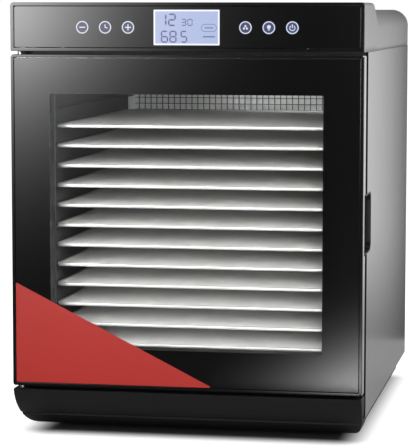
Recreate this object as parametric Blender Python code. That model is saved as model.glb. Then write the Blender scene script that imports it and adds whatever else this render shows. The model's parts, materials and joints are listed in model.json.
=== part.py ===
"""Cabinet food dehydrator: a touch-control head, a glazed door hinged on the left, fourteen mesh
trays on fifteen pairs of runners, and a fan and heater behind a rear grille.

Frame: metres, +Z up, -Y is the front, origin under the middle of the object on the floor.
Depths into the cabinet are measured back from the front face, drops are measured down from the top.
"""

import math

import bmesh
import bpy

# Overall sizes; the height follows from the number of shelves and their pitch
WIDTH = 0.418
DEPTH = 0.553
FOOT_HEIGHT = 0.007
CLEARANCE = 0.0003

# Overlap of shapes that are joined, and how far a cutter runs past what it cuts
LAP = 0.002
OVERRUN = 0.010

# Front, from the top down
HEAD_HEIGHT = 0.057
DOOR_GAP = 0.004
CHIN_HEIGHT = 0.052
DOOR_THICKNESS = 0.0265
PANEL_START = 0.044
LIP_LENGTH = 0.006
SHEET = 0.0015
MOULDING = 0.0025

# Head
HEAD_RIM = 0.0041
HEAD_RIM_DEPTH = 0.006
HEAD_ROOF_DEPTH = 0.105
HEAD_FOOT_DEPTH = 0.150
ROOF_STEP = 0.0085
HEAD_SLOPE_DROP = 0.024
ROOF_RADIUS = 0.022
HEAD_RADIUS = 0.004
GLASS_THICKNESS = 0.003
GLASS_INSET = 0.0008
LCD_SIZE = (0.080, 0.041)
LCD_DEPTH = 0.008
ICON_DROP = 0.029
ICON_OFFSETS = (0.070, 0.0975, 0.125)
SPRING_RADIUS = 0.005
SPRING_MARGIN = 0.012
BOARD_MARGIN = 0.004
BOARD_THICKNESS = 0.0016
BOARD_DEPTHS = (0.065, 0.125)
BOARD_SPAN = (0.025, 0.155)
BOARD_RISE = 0.014
BOARD_LEG = (0.003, 0.005)
CONTROL_BLOCKS = ((-0.120, 0.085, 0.022), (-0.065, 0.100, 0.014))
POWER_BLOCKS = ((0.060, 0.095, 0.030), (0.115, 0.085, 0.020))
BLOCK_HEIGHT_SHARE = 0.7

# Door
DOOR_RIM = 0.0035
DOOR_RIM_DEPTH = 0.006
PANE_INSET = 0.0012
WINDOW_MARGIN = 0.046
WINDOW_TOP_MARGIN = 0.045
INNER_FRAME_THICKNESS = 0.0025
INNER_FRAME_MARGIN = 0.002
DOOR_WALL = 0.004
GASKET_THICKNESS = 0.0024
GASKET_WIDTH = 0.006
HINGE_INSET = 0.008
PIN_RADIUS = 0.003
HINGE_BLOCK = (0.022, 0.013, 0.009)
BUSH_WALL = 0.0024
BUSH_LENGTH = 0.011
PIN_END_GAP = 0.001
MAGNET_SIZE = (0.008, 0.050)
MAGNET_THICKNESS = 0.001
MAGNET_INSET = 0.006
MAGNET_RISE = 0.010

# Finger pocket in the right-hand side
POCKET_HEIGHT = 0.071
POCKET_REACH = 0.042
POCKET_DEPTH = 0.024
POCKET_NOTCH = 0.0115
POCKET_WALL = 0.002

# Cavity and trays
SIDE_SPACE = 0.0425
BACK_SPACE = 0.113
TRAY_START = 0.040
TRAY_RIM = 0.004
TRAY_CORNER = 0.014
TRAY_BAR = 0.003
TRAY_BARS = 7
SLOT_COUNT = 15
SLOT_PITCH = 0.0238
EMPTY_SLOT = 1
TRAY_SIDE_GAP = 0.0015
RUNNER_WIDTH = 0.008
CEILING_MARGIN = 0.015
CAVITY_HEADROOM = 0.0212
CAVITY_FOOTROOM = 0.0116
FLOOR_MARGIN = 0.009
MOUTH_MARGIN = 0.002
GASKET_MARGIN = 0.003
SENSOR_RADIUS = 0.0025
SENSOR_INSET = 0.018
SENSOR_SPAN = (0.012, 0.042)

# Back
REAR_HOOD = 0.010
GRILLE_GAP = 0.010
GRILLE_SLOTS = 9
GRILLE_MARGIN = 0.030
GRILLE_OPEN_SHARE = 0.64
PLENUM_DEPTH = 0.010
FAN_RADIUS = 0.088
FAN_TIP_GAP = 0.007
HUB_RADIUS = 0.016
BLADE_ROOT_SHARE = 0.72
BLADE_END_WIDTHS = (0.8, 1.5)
BLADE_COUNT = 7
BLADE_CHORD = 0.016
BLADE_THICKNESS = 0.0016
BLADE_PITCH = math.radians(38)
FAN_SETBACK = 0.012
SHAFT_RADIUS = 0.004
MOTOR_RADIUS = 0.032
MOTOR_LENGTH = 0.030
SHAFT_SEAT = 0.014
BRACKET_GAP = 0.008
BRACKET_MARGIN = 0.010
BRACKET_ARM = 0.018
BRACKET_LEG = 0.0126
HEATER_MARGIN = 0.013
HEATER_WIRE = 0.004
HEATER_END = 0.022
CUTOUT_PLACE = (0.027, -0.060)
CUTOUT_SIZE = (0.009, 0.007)
HOOD_SIZE = 0.250
LOUVRE_COUNT = 8
LOUVRE_HEIGHT = 0.006
LOUVRE_MARGINS = (0.030, 0.020)
INLET_SIZE = (0.030, 0.024)
INLET_HOLE = (0.024, 0.018)
INLET_SET = 0.150
INLET_RISE = 0.030
INLET_BODY = 0.020
INLET_HOLE_DEPTH = 0.014
INLET_FLANGE = (0.004, 0.0025)
INLET_PIN = (0.002, 0.004, 0.012)
INLET_PIN_PITCH = 0.007
INLET_PIN_OFFSET = 0.0025

# Base
CHIN_SWEEP = 0.070
CHIN_CURVE = 1.5
CORNER_SWEEP = 0.022
CORNER_CURVE = 3.0
CURVE_MARGIN = 0.001
PAN_HEIGHT = 0.023
PAN_INSET = 0.012
NOSE_LENGTH = 0.026
NOSE_SIDE_GAP = 0.0005
CHIN_END = 0.004
CURVE_STEPS = 10
FOOT_RADIUS = 0.013
FOOT_TAPER = 0.85
FOOT_INSET = (0.050, 0.055)

HALF = WIDTH / 2
TRAY_WIDTH = WIDTH - 2 * SIDE_SPACE
TRAY_DEPTH = DEPTH - TRAY_START - BACK_SPACE
DOOR_TOP = HEAD_HEIGHT + DOOR_GAP
CEILING = DOOR_TOP + CEILING_MARGIN
FIRST_SLOT_DROP = CEILING + CAVITY_HEADROOM + TRAY_RIM
FLOOR = FIRST_SLOT_DROP + (SLOT_COUNT - 1) * SLOT_PITCH + CAVITY_FOOTROOM
DOOR_BOTTOM = FLOOR + FLOOR_MARGIN
CHIN_TOP = DOOR_BOTTOM + DOOR_GAP
BODY_HEIGHT = CHIN_TOP + CHIN_HEIGHT
HEIGHT = BODY_HEIGHT + FOOT_HEIGHT
PANEL_DROP = BODY_HEIGHT - PAN_HEIGHT
WINDOW_TOP = DOOR_TOP + WINDOW_TOP_MARGIN
WINDOW_BOTTOM = DOOR_BOTTOM - WINDOW_MARGIN
WINDOW_HALF = HALF - WINDOW_MARGIN
HINGE_X = -HALF + HINGE_INSET
HINGE_DEPTH = DOOR_THICKNESS / 2
FRAME_START = DOOR_THICKNESS + GASKET_THICKNESS + 2 * CLEARANCE
LINER_START = PANEL_START + LIP_LENGTH
LINER_HALF = TRAY_WIDTH / 2 + TRAY_SIDE_GAP
MOUTH_HALF = LINER_HALF + MOUTH_MARGIN
GRILLE_START = TRAY_START + TRAY_DEPTH + GRILLE_GAP
SHROUD_END = GRILLE_START + SHEET + CLEARANCE + PLENUM_DEPTH
REAR_PLANE = DEPTH - REAR_HOOD
NOSE_END = LINER_START + NOSE_LENGTH
INLET_DROP = PANEL_DROP - INLET_RISE
FAN_DROP = (CEILING + FLOOR) / 2
HEATER_RADIUS = FAN_RADIUS + FAN_TIP_GAP + HEATER_MARGIN
BRACKET_SPAN = HEATER_RADIUS + BRACKET_MARGIN
POCKET_TOP = (DOOR_TOP + DOOR_BOTTOM - POCKET_HEIGHT) / 2
POCKET_BOTTOM = POCKET_TOP + POCKET_HEIGHT
POCKET_END = PANEL_START + POCKET_REACH

SILVER = ((0.46, 0.46, 0.47), 0.36, 0.75)
GLOSS_BLACK = ((0.012, 0.012, 0.014), 0.10, 0.0)
SATIN_BLACK = ((0.022, 0.022, 0.023), 0.42, 0.0)
STEEL = ((0.60, 0.60, 0.60), 0.28, 1.0)
ZINC = ((0.48, 0.49, 0.50), 0.45, 1.0)
SMOKED_GLASS = ((0.03, 0.03, 0.035), 0.05, 0.0)
BOARD_GREEN = ((0.02, 0.13, 0.06), 0.5, 0.0)
SILICONE = ((0.10, 0.10, 0.10), 0.6, 0.0)
RUBBER = ((0.02, 0.02, 0.02), 0.8, 0.0)
DISPLAY = ((0.45, 0.50, 0.78), 0.25, 0.0)


def back(depth):
    """Y of a depth behind the front face."""
    return depth - DEPTH / 2


def down(drop):
    """Z of a drop below the top."""
    return HEIGHT - drop


def finish(finish_name, values):
    material = bpy.data.materials.new(finish_name)
    material.use_nodes = True
    shader = material.node_tree.nodes["Principled BSDF"]
    colour, roughness, metallic = values
    shader.inputs["Base Color"].default_value = (*colour, 1.0)
    shader.inputs["Roughness"].default_value = roughness
    shader.inputs["Metallic"].default_value = metallic
    material.diffuse_color = (*colour, 1.0)
    return material


def add(name, points, faces, values, smooth=False):
    """A mesh object with its normals turned outwards and a material of its own."""
    mesh = bpy.data.meshes.new(name)
    mesh.from_pydata(points, [], faces)
    shape = bmesh.new()
    shape.from_mesh(mesh)
    bmesh.ops.recalc_face_normals(shape, faces=shape.faces)
    shape.to_mesh(mesh)
    shape.free()
    obj = bpy.data.objects.new(name, mesh)
    bpy.context.scene.collection.objects.link(obj)
    if values is not None:
        mesh.materials.append(finish(name, values))
    if smooth:
        mesh.shade_smooth()
        mesh.set_sharp_from_angle(angle=math.radians(35))
    return obj


def box(name, x_range, depth_range, drop_range, values):
    """A block between two X values, two depths and two drops."""
    points = [
        (x, back(depth), down(drop)) for x in x_range for depth in depth_range for drop in drop_range
    ]
    faces = [(0, 1, 3, 2), (4, 6, 7, 5), (0, 4, 5, 1), (2, 3, 7, 6), (0, 2, 6, 4), (1, 5, 7, 3)]
    return add(name, points, faces, values)


def ring(name, outer, inner, depth_range, values):
    """A rectangular frame: outer and inner are (half width, top drop, bottom drop)."""
    points = []
    for half, top, bottom in (outer, inner):
        for depth in depth_range:
            points += [
                (x, back(depth), down(drop))
                for x, drop in ((-half, top), (half, top), (half, bottom), (-half, bottom))
            ]
    faces = []
    for i in range(4):
        j = (i + 1) % 4
        faces += [(i, j, 4 + j, 4 + i), (8 + j, 8 + i, 12 + i, 12 + j)]
        faces += [(j, i, 8 + i, 8 + j), (4 + i, 4 + j, 12 + j, 12 + i)]
    return add(name, points, faces, values)


def extrude(name, outline, place, span, values, smooth=False):
    """A prism: place(u, v, w) gives the point of an outline's (u, v) at w, for both ends of span."""
    count = len(outline)
    points = [place(u, v, w) for w in span for u, v in outline]
    sides = [(i, (i + 1) % count, count + (i + 1) % count, count + i) for i in range(count)]
    caps = [tuple(range(count)), tuple(range(count, 2 * count))]
    return add(name, points, sides + caps, values, smooth)


def loft(name, sections, values):
    """A closed skin through sections of four points each."""
    points = [point for section in sections for point in section]
    faces = [(0, 1, 2, 3), tuple(len(points) - 4 + i for i in range(4))]
    for start in range(0, len(points) - 4, 4):
        for i in range(4):
            j = (i + 1) % 4
            faces.append((start + i, start + j, start + 4 + j, start + 4 + i))
    return add(name, points, faces, values)


def along_depth(u, v, w):
    return (u, back(w), down(v))


def along_width(u, v, w):
    return (w, back(u), down(v))


def along_height(u, v, w):
    return (u, back(v), down(w))


def circle(u, v, radius, sides):
    return [
        (u + radius * math.cos(2 * math.pi * i / sides), v + radius * math.sin(2 * math.pi * i / sides))
        for i in range(sides)
    ]


def rounded(half_u, low_v, high_v, radius, steps=4, u=0.0):
    """A rectangle with four round corners."""
    outline = []
    corners = (
        (u + half_u - radius, low_v + radius, -90),
        (u + half_u - radius, high_v - radius, 0),
        (u - half_u + radius, high_v - radius, 90),
        (u - half_u + radius, low_v + radius, 180),
    )
    for centre_u, centre_v, start in corners:
        for step in range(steps + 1):
            angle = math.radians(start + 90 * step / steps)
            outline.append((centre_u + radius * math.cos(angle), centre_v + radius * math.sin(angle)))
    return outline


def round_bar(name, centre, radius, place, span, values, sides=16):
    return extrude(name, circle(*centre, radius, sides), place, span, values, smooth=True)


def hide(obj):
    obj.hide_render = True
    obj.display_type = "WIRE"


def combine(obj, other, operation):
    modifier = obj.modifiers.new(other.name, "BOOLEAN")
    modifier.object = other
    modifier.operation = operation
    modifier.solver = "EXACT"
    hide(other)


def cut(obj, *cutters):
    for cutter in cutters:
        combine(obj, cutter, "DIFFERENCE")


def join(obj, *others):
    for other in others:
        combine(obj, other, "UNION")


def curve(share, sweep, power):
    """How far a surface has swept inwards at this share of its height: a quarter superellipse."""
    return sweep * (1 - (1 - share**power) ** (1 / power))


def chin_depth(drop):
    share = (drop - CHIN_TOP) / (CHIN_HEIGHT + CURVE_MARGIN)
    return curve(share, CHIN_SWEEP, CHIN_CURVE)


def chin_half(drop):
    share = (drop - CHIN_TOP) / (CHIN_HEIGHT + CURVE_MARGIN)
    return HALF - curve(share, CORNER_SWEEP, CORNER_CURVE)


def roof_profile(inset, bottom):
    """The cabinet's top in front view, with its two top edges rounded."""
    radius = ROOF_RADIUS - inset
    half = HALF - inset
    top = ROOF_STEP + inset
    outline = [(half, bottom)]
    for start, centre in ((0, half - radius), (90, radius - half)):
        for step in range(7):
            angle = math.radians(start + 15 * step)
            outline.append((centre + radius * math.cos(angle), top + radius - radius * math.sin(angle)))
    outline.append((-half, bottom))
    return outline


def raised_head(name, inset, start, bottom, values):
    """The raised front of the head: a block with a sloping back and small round top edges."""
    radius = HEAD_RADIUS - inset / 2
    half = HALF - inset
    profile = [(half, bottom)]
    for turn, centre in ((0, half - radius), (90, radius - half)):
        for step in range(4):
            angle = math.radians(turn + 30 * step)
            profile.append((centre + radius * math.cos(angle), inset + radius - radius * math.sin(angle)))
    profile.append((-half, bottom))
    slope = (HEAD_FOOT_DEPTH - HEAD_ROOF_DEPTH) / HEAD_SLOPE_DROP

    def place(u, v, end):
        slant = HEAD_ROOF_DEPTH - inset + slope * min(v, HEAD_SLOPE_DROP)
        return (u, back(slant if end else start), down(v))

    return extrude(name, profile, place, (0, 1), values)


def make_top_housing():
    start = HEAD_RIM_DEPTH + CLEARANCE
    housing = extrude(
        "top_housing", roof_profile(0, HEAD_HEIGHT), along_depth, (start, REAR_PLANE), SILVER, smooth=True
    )
    join(housing, raised_head("head_block", 0, start, HEAD_HEIGHT / 2, None))
    below = HEAD_HEIGHT + OVERRUN
    ahead = start - OVERRUN
    cut(
        housing,
        extrude(
            "roof_hollow",
            roof_profile(MOULDING, below),
            along_depth,
            (ahead, REAR_PLANE - MOULDING),
            None,
        ),
        raised_head("head_hollow", MOULDING, ahead, HEAD_HEIGHT / 2, None),
    )


def make_head_front():
    face = (HALF, 0.0, HEAD_HEIGHT)
    opening = (HALF - HEAD_RIM, HEAD_RIM, HEAD_HEIGHT - HEAD_RIM)
    bezel = ring("head_bezel", face, opening, (0, HEAD_RIM_DEPTH), GLOSS_BLACK)
    shelf_half = HALF - MOULDING - CLEARANCE
    shelf = box(
        "head_shelf",
        (-shelf_half, shelf_half),
        (HEAD_RIM_DEPTH / 2, PANEL_START - CLEARANCE),
        (HEAD_HEIGHT - MOULDING, HEAD_HEIGHT),
        None,
    )
    join(bezel, shelf)
    cut(bezel, pin_hole("head_pin_hole", HEAD_HEIGHT))
    glass_half = opening[0] - CLEARANCE
    glass_end = GLASS_INSET + GLASS_THICKNESS
    box(
        "control_glass",
        (-glass_half, glass_half),
        (GLASS_INSET, glass_end),
        (opening[1] + CLEARANCE, opening[2] - CLEARANCE),
        GLOSS_BLACK,
    )
    lcd_start = glass_end + CLEARANCE
    lcd_half = LCD_SIZE[0] / 2
    lcd_top = ICON_DROP - LCD_SIZE[1] / 2
    box(
        "lcd_module",
        (-lcd_half, lcd_half),
        (lcd_start, lcd_start + LCD_DEPTH),
        (lcd_top, lcd_top + LCD_SIZE[1]),
        DISPLAY,
    )
    board_start = lcd_start + LCD_DEPTH + CLEARANCE
    board = box(
        "touch_board",
        (-ICON_OFFSETS[-1] - SPRING_MARGIN, ICON_OFFSETS[-1] + SPRING_MARGIN),
        (board_start, board_start + BOARD_THICKNESS),
        (lcd_top + BOARD_MARGIN, lcd_top + LCD_SIZE[1] - BOARD_MARGIN),
        BOARD_GREEN,
    )
    for side in (-1, 1):
        for offset in ICON_OFFSETS:
            centre = (side * offset, ICON_DROP)
            span = (glass_end + CLEARANCE, board_start + BOARD_THICKNESS / 2)
            name = f"touch_spring_{side * offset:.4f}"
            join(board, round_bar(name, centre, SPRING_RADIUS, along_depth, span, None, 8))


def make_boards():
    """Two circuit boards stand on legs on the roof of the cavity, inside the head."""
    near, far = BOARD_SPAN
    top = CEILING - SHEET - BOARD_RISE
    middle = top + BOARD_THICKNESS / 2
    leg_radius, leg_inset = BOARD_LEG
    leg_drops = (middle, CEILING - SHEET - CLEARANCE)
    for name, x_range, blocks in (
        ("control_board", (-far, -near), CONTROL_BLOCKS),
        ("power_board", (near, far), POWER_BLOCKS),
    ):
        board = box(name, x_range, BOARD_DEPTHS, (top, top + BOARD_THICKNESS), BOARD_GREEN)
        for index, (x, depth, size) in enumerate(blocks):
            half = size / 2
            depths = (depth - half, depth + half)
            drops = (top - size * BLOCK_HEIGHT_SHARE, middle)
            join(board, box(f"{name}_block_{index}", (x - half, x + half), depths, drops, None))
        for x in (x_range[0] + leg_inset, x_range[1] - leg_inset):
            for depth in (BOARD_DEPTHS[0] + leg_inset, BOARD_DEPTHS[1] - leg_inset):
                leg_name = f"{name}_leg_{x:.3f}_{depth:.3f}"
                join(board, round_bar(leg_name, (x, depth), leg_radius, along_height, leg_drops, None, 8))


def make_side_panels():
    """Flat silver sheets with an inward flange along the bottom, which meets the base pan."""
    for name, side in (("left_side_panel", -1), ("right_side_panel", 1)):
        inner = HALF - SHEET
        flange = HALF - PAN_INSET + CLEARANCE
        outline = [
            (side * HALF, HEAD_HEIGHT + CLEARANCE),
            (side * HALF, PANEL_DROP),
            (side * flange, PANEL_DROP),
            (side * flange, PANEL_DROP - SHEET),
            (side * inner, PANEL_DROP - SHEET),
            (side * inner, HEAD_HEIGHT + CLEARANCE),
        ]
        panel = extrude(name, outline, along_depth, (PANEL_START, REAR_PLANE), SILVER)
        notch = box(
            f"{name}_notch",
            (side * (flange - OVERRUN), side * (inner - CLEARANCE / 2)),
            (PANEL_START - OVERRUN, NOSE_END + CLEARANCE),
            (PANEL_DROP - OVERRUN, PANEL_DROP + OVERRUN),
            None,
        )
        cut(panel, notch)
        if side > 0:
            cut(panel, pocket_cutter("panel_pocket", PANEL_START - OVERRUN, POCKET_END, HALF + OVERRUN))


def pocket_cutter(name, start, end, outer):
    """The pocket's opening, grown by the clearance that its cup needs."""
    return box(
        name,
        (HALF - POCKET_DEPTH - CLEARANCE, outer),
        (start, end + CLEARANCE),
        (POCKET_TOP - CLEARANCE, POCKET_BOTTOM + CLEARANCE),
        None,
    )


def make_finger_pocket():
    """A cup behind the door's free edge, open to the side and to the door."""
    inner = HALF - POCKET_DEPTH
    pocket = box(
        "finger_pocket",
        (inner, HALF - CLEARANCE),
        (FRAME_START, POCKET_END),
        (POCKET_TOP, POCKET_BOTTOM),
        SATIN_BLACK,
    )
    hollow = box(
        "pocket_hollow",
        (inner + POCKET_WALL, HALF + OVERRUN),
        (FRAME_START - OVERRUN, POCKET_END - POCKET_WALL),
        (POCKET_TOP + POCKET_WALL, POCKET_BOTTOM - POCKET_WALL),
        None,
    )
    cut(pocket, hollow)


def make_front_frame():
    """The black frame round the cavity's mouth, which the door closes on."""
    mouth = (MOUTH_HALF, CEILING, FLOOR)
    top = HEAD_HEIGHT + CLEARANCE
    bottom = PANEL_DROP - SHEET - CLEARANCE
    band = (HALF - SHEET, top, bottom)
    frame = ring("front_frame", band, mouth, (FRAME_START, PANEL_START), SATIN_BLACK)
    lip = (HALF - SHEET - CLEARANCE, top + CLEARANCE, bottom - CLEARANCE)
    join(frame, ring("frame_lip", lip, mouth, (PANEL_START - LAP, LINER_START), None))
    cut(frame, pocket_cutter("frame_pocket", FRAME_START - OVERRUN, LINER_START + OVERRUN, HALF + OVERRUN))
    plate_end = FRAME_START - CLEARANCE
    plate_start = DOOR_THICKNESS + 2 * CLEARANCE + MAGNET_THICKNESS
    plate_x = HALF - MAGNET_INSET - MAGNET_SIZE[0]
    plate_top = POCKET_TOP - MAGNET_SIZE[1] - MAGNET_RISE
    for name, depths in (
        ("door_magnet", (DOOR_THICKNESS + CLEARANCE, plate_start - CLEARANCE)),
        ("catch_plate", (plate_start, plate_end)),
    ):
        box(name, (plate_x, plate_x + MAGNET_SIZE[0]), depths, (plate_top, plate_top + MAGNET_SIZE[1]), ZINC)


def make_cavity():
    """Side walls with fifteen runners each, a roof, a floor and a slotted back."""
    end = GRILLE_START - CLEARANCE
    depths = (LINER_START + CLEARANCE, end)
    wall = LINER_HALF + SHEET
    for name, side in (("liner_left", -1), ("liner_right", 1)):
        outline = [(side * LINER_HALF, CEILING + CLEARANCE)]
        for slot in range(SLOT_COUNT):
            top = FIRST_SLOT_DROP + slot * SLOT_PITCH + CLEARANCE
            runner = LINER_HALF - RUNNER_WIDTH
            outline += [
                (side * LINER_HALF, top),
                (side * runner, top),
                (side * runner, top + SHEET),
                (side * LINER_HALF, top + SHEET),
            ]
        outline += [
            (side * LINER_HALF, FLOOR - CLEARANCE),
            (side * wall, FLOOR - CLEARANCE),
            (side * wall, CEILING + CLEARANCE),
        ]
        extrude(name, outline, along_depth, depths, STEEL)
    box("liner_top", (-wall, wall), depths, (CEILING - SHEET, CEILING), STEEL)
    box("liner_bottom", (-wall, wall), depths, (FLOOR, FLOOR + SHEET), STEEL)
    grille = box(
        "rear_grille",
        (-wall, wall),
        (GRILLE_START, GRILLE_START + SHEET),
        (CEILING - SHEET, FLOOR + SHEET),
        STEEL,
    )
    pitch = 2 * LINER_HALF / GRILLE_SLOTS
    slot_half = pitch * GRILLE_OPEN_SHARE / 2
    for index in range(GRILLE_SLOTS):
        x = (index - (GRILLE_SLOTS - 1) / 2) * pitch
        opening = box(
            f"grille_slot_{index}",
            (x - slot_half, x + slot_half),
            (GRILLE_START - OVERRUN, GRILLE_START + OVERRUN),
            (CEILING + GRILLE_MARGIN, FLOOR - GRILLE_MARGIN),
            None,
        )
        cut(grille, opening)
    sensor = (LINER_HALF - SENSOR_INSET, GRILLE_START - CLEARANCE - SENSOR_RADIUS)
    sensor_drops = (CEILING + SENSOR_SPAN[0], CEILING + SENSOR_SPAN[1])
    round_bar("temperature_sensor", sensor, SENSOR_RADIUS, along_height, sensor_drops, STEEL, 10)


def make_trays():
    """Each tray is a rim with round corners and a row of long bars; one pair of runners is empty."""
    slots = [slot for slot in range(SLOT_COUNT) if slot != EMPTY_SLOT]
    half = TRAY_WIDTH / 2
    for number, slot in enumerate(slots, start=1):
        bottom = FIRST_SLOT_DROP + slot * SLOT_PITCH
        top = bottom - TRAY_RIM
        name = f"tray_{number:02d}"
        end = TRAY_START + TRAY_DEPTH
        rim = extrude(
            name, rounded(half, TRAY_START, end, TRAY_CORNER, 3), along_height, (top, bottom), STEEL
        )
        gap = (TRAY_WIDTH - 2 * TRAY_RIM - TRAY_BARS * TRAY_BAR) / (TRAY_BARS + 1)
        for index in range(TRAY_BARS + 1):
            centre = -half + TRAY_RIM + gap / 2 + index * (gap + TRAY_BAR)
            slot_shape = rounded(
                gap / 2, TRAY_START + TRAY_RIM, end - TRAY_RIM, TRAY_CORNER - TRAY_RIM, 1, centre
            )
            drops = (top - OVERRUN, bottom + OVERRUN)
            cut(rim, extrude(f"{name}_gap_{index}", slot_shape, along_height, drops, None))


def pin_hole(name, drop):
    """A cutter for a hinge pin's way through a wall at this drop."""
    radius = PIN_RADIUS + CLEARANCE
    drops = (drop - OVERRUN, drop + OVERRUN)
    return round_bar(name, (HINGE_X, HINGE_DEPTH), radius, along_height, drops, None)


def make_hinges():
    """A block with a pin is fixed in the head and another in the base; the pins carry the door."""
    for name, base, tip, block in (
        (
            "hinge_upper",
            HEAD_HEIGHT - MOULDING - CLEARANCE,
            DOOR_TOP + BUSH_LENGTH - PIN_END_GAP,
            (HEAD_HEIGHT - HINGE_BLOCK[2], HEAD_HEIGHT - MOULDING - CLEARANCE),
        ),
        (
            "hinge_lower",
            CHIN_TOP + MOULDING + CLEARANCE,
            DOOR_BOTTOM - BUSH_LENGTH + PIN_END_GAP,
            (CHIN_TOP + MOULDING + CLEARANCE, CHIN_TOP + HINGE_BLOCK[2]),
        ),
    ):
        inner = HINGE_X + HINGE_BLOCK[0]
        outer = -HALF + MOULDING + CLEARANCE
        depths = (HINGE_DEPTH - HINGE_BLOCK[1] / 2, HINGE_DEPTH + HINGE_BLOCK[1] / 2)
        hinge = box(name, (outer, inner), depths, block, ZINC)
        root = base - LAP if tip > base else base + LAP
        centre = (HINGE_X, HINGE_DEPTH)
        join(hinge, round_bar(f"{name}_pin", centre, PIN_RADIUS, along_height, (root, tip), None))


def make_door():
    face = (HALF, DOOR_TOP, DOOR_BOTTOM)
    opening = (HALF - DOOR_RIM, DOOR_TOP + DOOR_RIM, DOOR_BOTTOM - DOOR_RIM)
    window = (WINDOW_HALF, WINDOW_TOP, WINDOW_BOTTOM)
    ring("door_bezel", face, opening, (0, DOOR_RIM_DEPTH), GLOSS_BLACK)
    pane_half = opening[0] - CLEARANCE
    box(
        "door_glass",
        (-pane_half, pane_half),
        (PANE_INSET, DOOR_RIM_DEPTH),
        (opening[1] + CLEARANCE, opening[2] - CLEARANCE),
        SMOKED_GLASS,
    )
    frame_start = DOOR_RIM_DEPTH + CLEARANCE
    frame_end = DOOR_THICKNESS - INNER_FRAME_THICKNESS - CLEARANCE
    frame = ring("door_frame", face, window, (frame_start, frame_end), SILVER)
    wall = DOOR_WALL
    web = frame_start + wall
    side_in, side_out = WINDOW_HALF + wall, HALF - wall
    beam_half = WINDOW_HALF - wall
    for name, x_range, drops in (
        ("hollow_left", (-side_out, -side_in), (WINDOW_TOP, WINDOW_BOTTOM)),
        ("hollow_right_upper", (side_in, side_out), (WINDOW_TOP, POCKET_TOP - wall)),
        ("hollow_right_lower", (side_in, side_out), (POCKET_BOTTOM + wall, WINDOW_BOTTOM)),
        ("hollow_top", (-beam_half, beam_half), (DOOR_TOP + wall, WINDOW_TOP - wall)),
        ("hollow_bottom", (-beam_half, beam_half), (WINDOW_BOTTOM + wall, DOOR_BOTTOM - wall)),
    ):
        cut(frame, box(name, x_range, (web, frame_end + OVERRUN), drops, None))
    bore = PIN_RADIUS + CLEARANCE + BUSH_WALL + CLEARANCE
    for name, drops in (
        ("bore_upper", (DOOR_TOP - OVERRUN, DOOR_TOP + BUSH_LENGTH + 2 * CLEARANCE)),
        ("bore_lower", (DOOR_BOTTOM - BUSH_LENGTH - 2 * CLEARANCE, DOOR_BOTTOM + OVERRUN)),
    ):
        cut(frame, round_bar(name, (HINGE_X, HINGE_DEPTH), bore, along_height, drops, None))
    notch = (
        (HALF - POCKET_DEPTH, HALF + OVERRUN),
        (DOOR_THICKNESS - POCKET_NOTCH, DOOR_THICKNESS + OVERRUN),
        (POCKET_TOP, POCKET_BOTTOM),
    )
    cut(frame, box("frame_notch", *notch, None))
    inset = INNER_FRAME_MARGIN
    inner_frame = ring(
        "door_inner_frame",
        (HALF - inset, DOOR_TOP + inset, DOOR_BOTTOM - inset),
        window,
        (frame_end + CLEARANCE, DOOR_THICKNESS),
        SATIN_BLACK,
    )
    cut(inner_frame, box("inner_notch", *notch, None))
    seal_in = (MOUTH_HALF + GASKET_MARGIN, CEILING - GASKET_MARGIN, FLOOR + CLEARANCE)
    seal_out = (seal_in[0] + GASKET_WIDTH, seal_in[1] - GASKET_WIDTH, seal_in[2] + GASKET_WIDTH)
    seal_start = DOOR_THICKNESS + CLEARANCE
    ring("door_gasket", seal_out, seal_in, (seal_start, seal_start + GASKET_THICKNESS), SILICONE)
    for name, drops in (
        ("door_bush_upper", (DOOR_TOP + CLEARANCE, DOOR_TOP + BUSH_LENGTH)),
        ("door_bush_lower", (DOOR_BOTTOM - BUSH_LENGTH, DOOR_BOTTOM - CLEARANCE)),
    ):
        centre = (HINGE_X, HINGE_DEPTH)
        bush = round_bar(name, centre, bore - CLEARANCE, along_height, drops, SILICONE)
        hole_drops = (drops[0] - OVERRUN, drops[1] + OVERRUN)
        cut(bush, round_bar(f"{name}_hole", centre, PIN_RADIUS + CLEARANCE, along_height, hole_drops, None))


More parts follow.
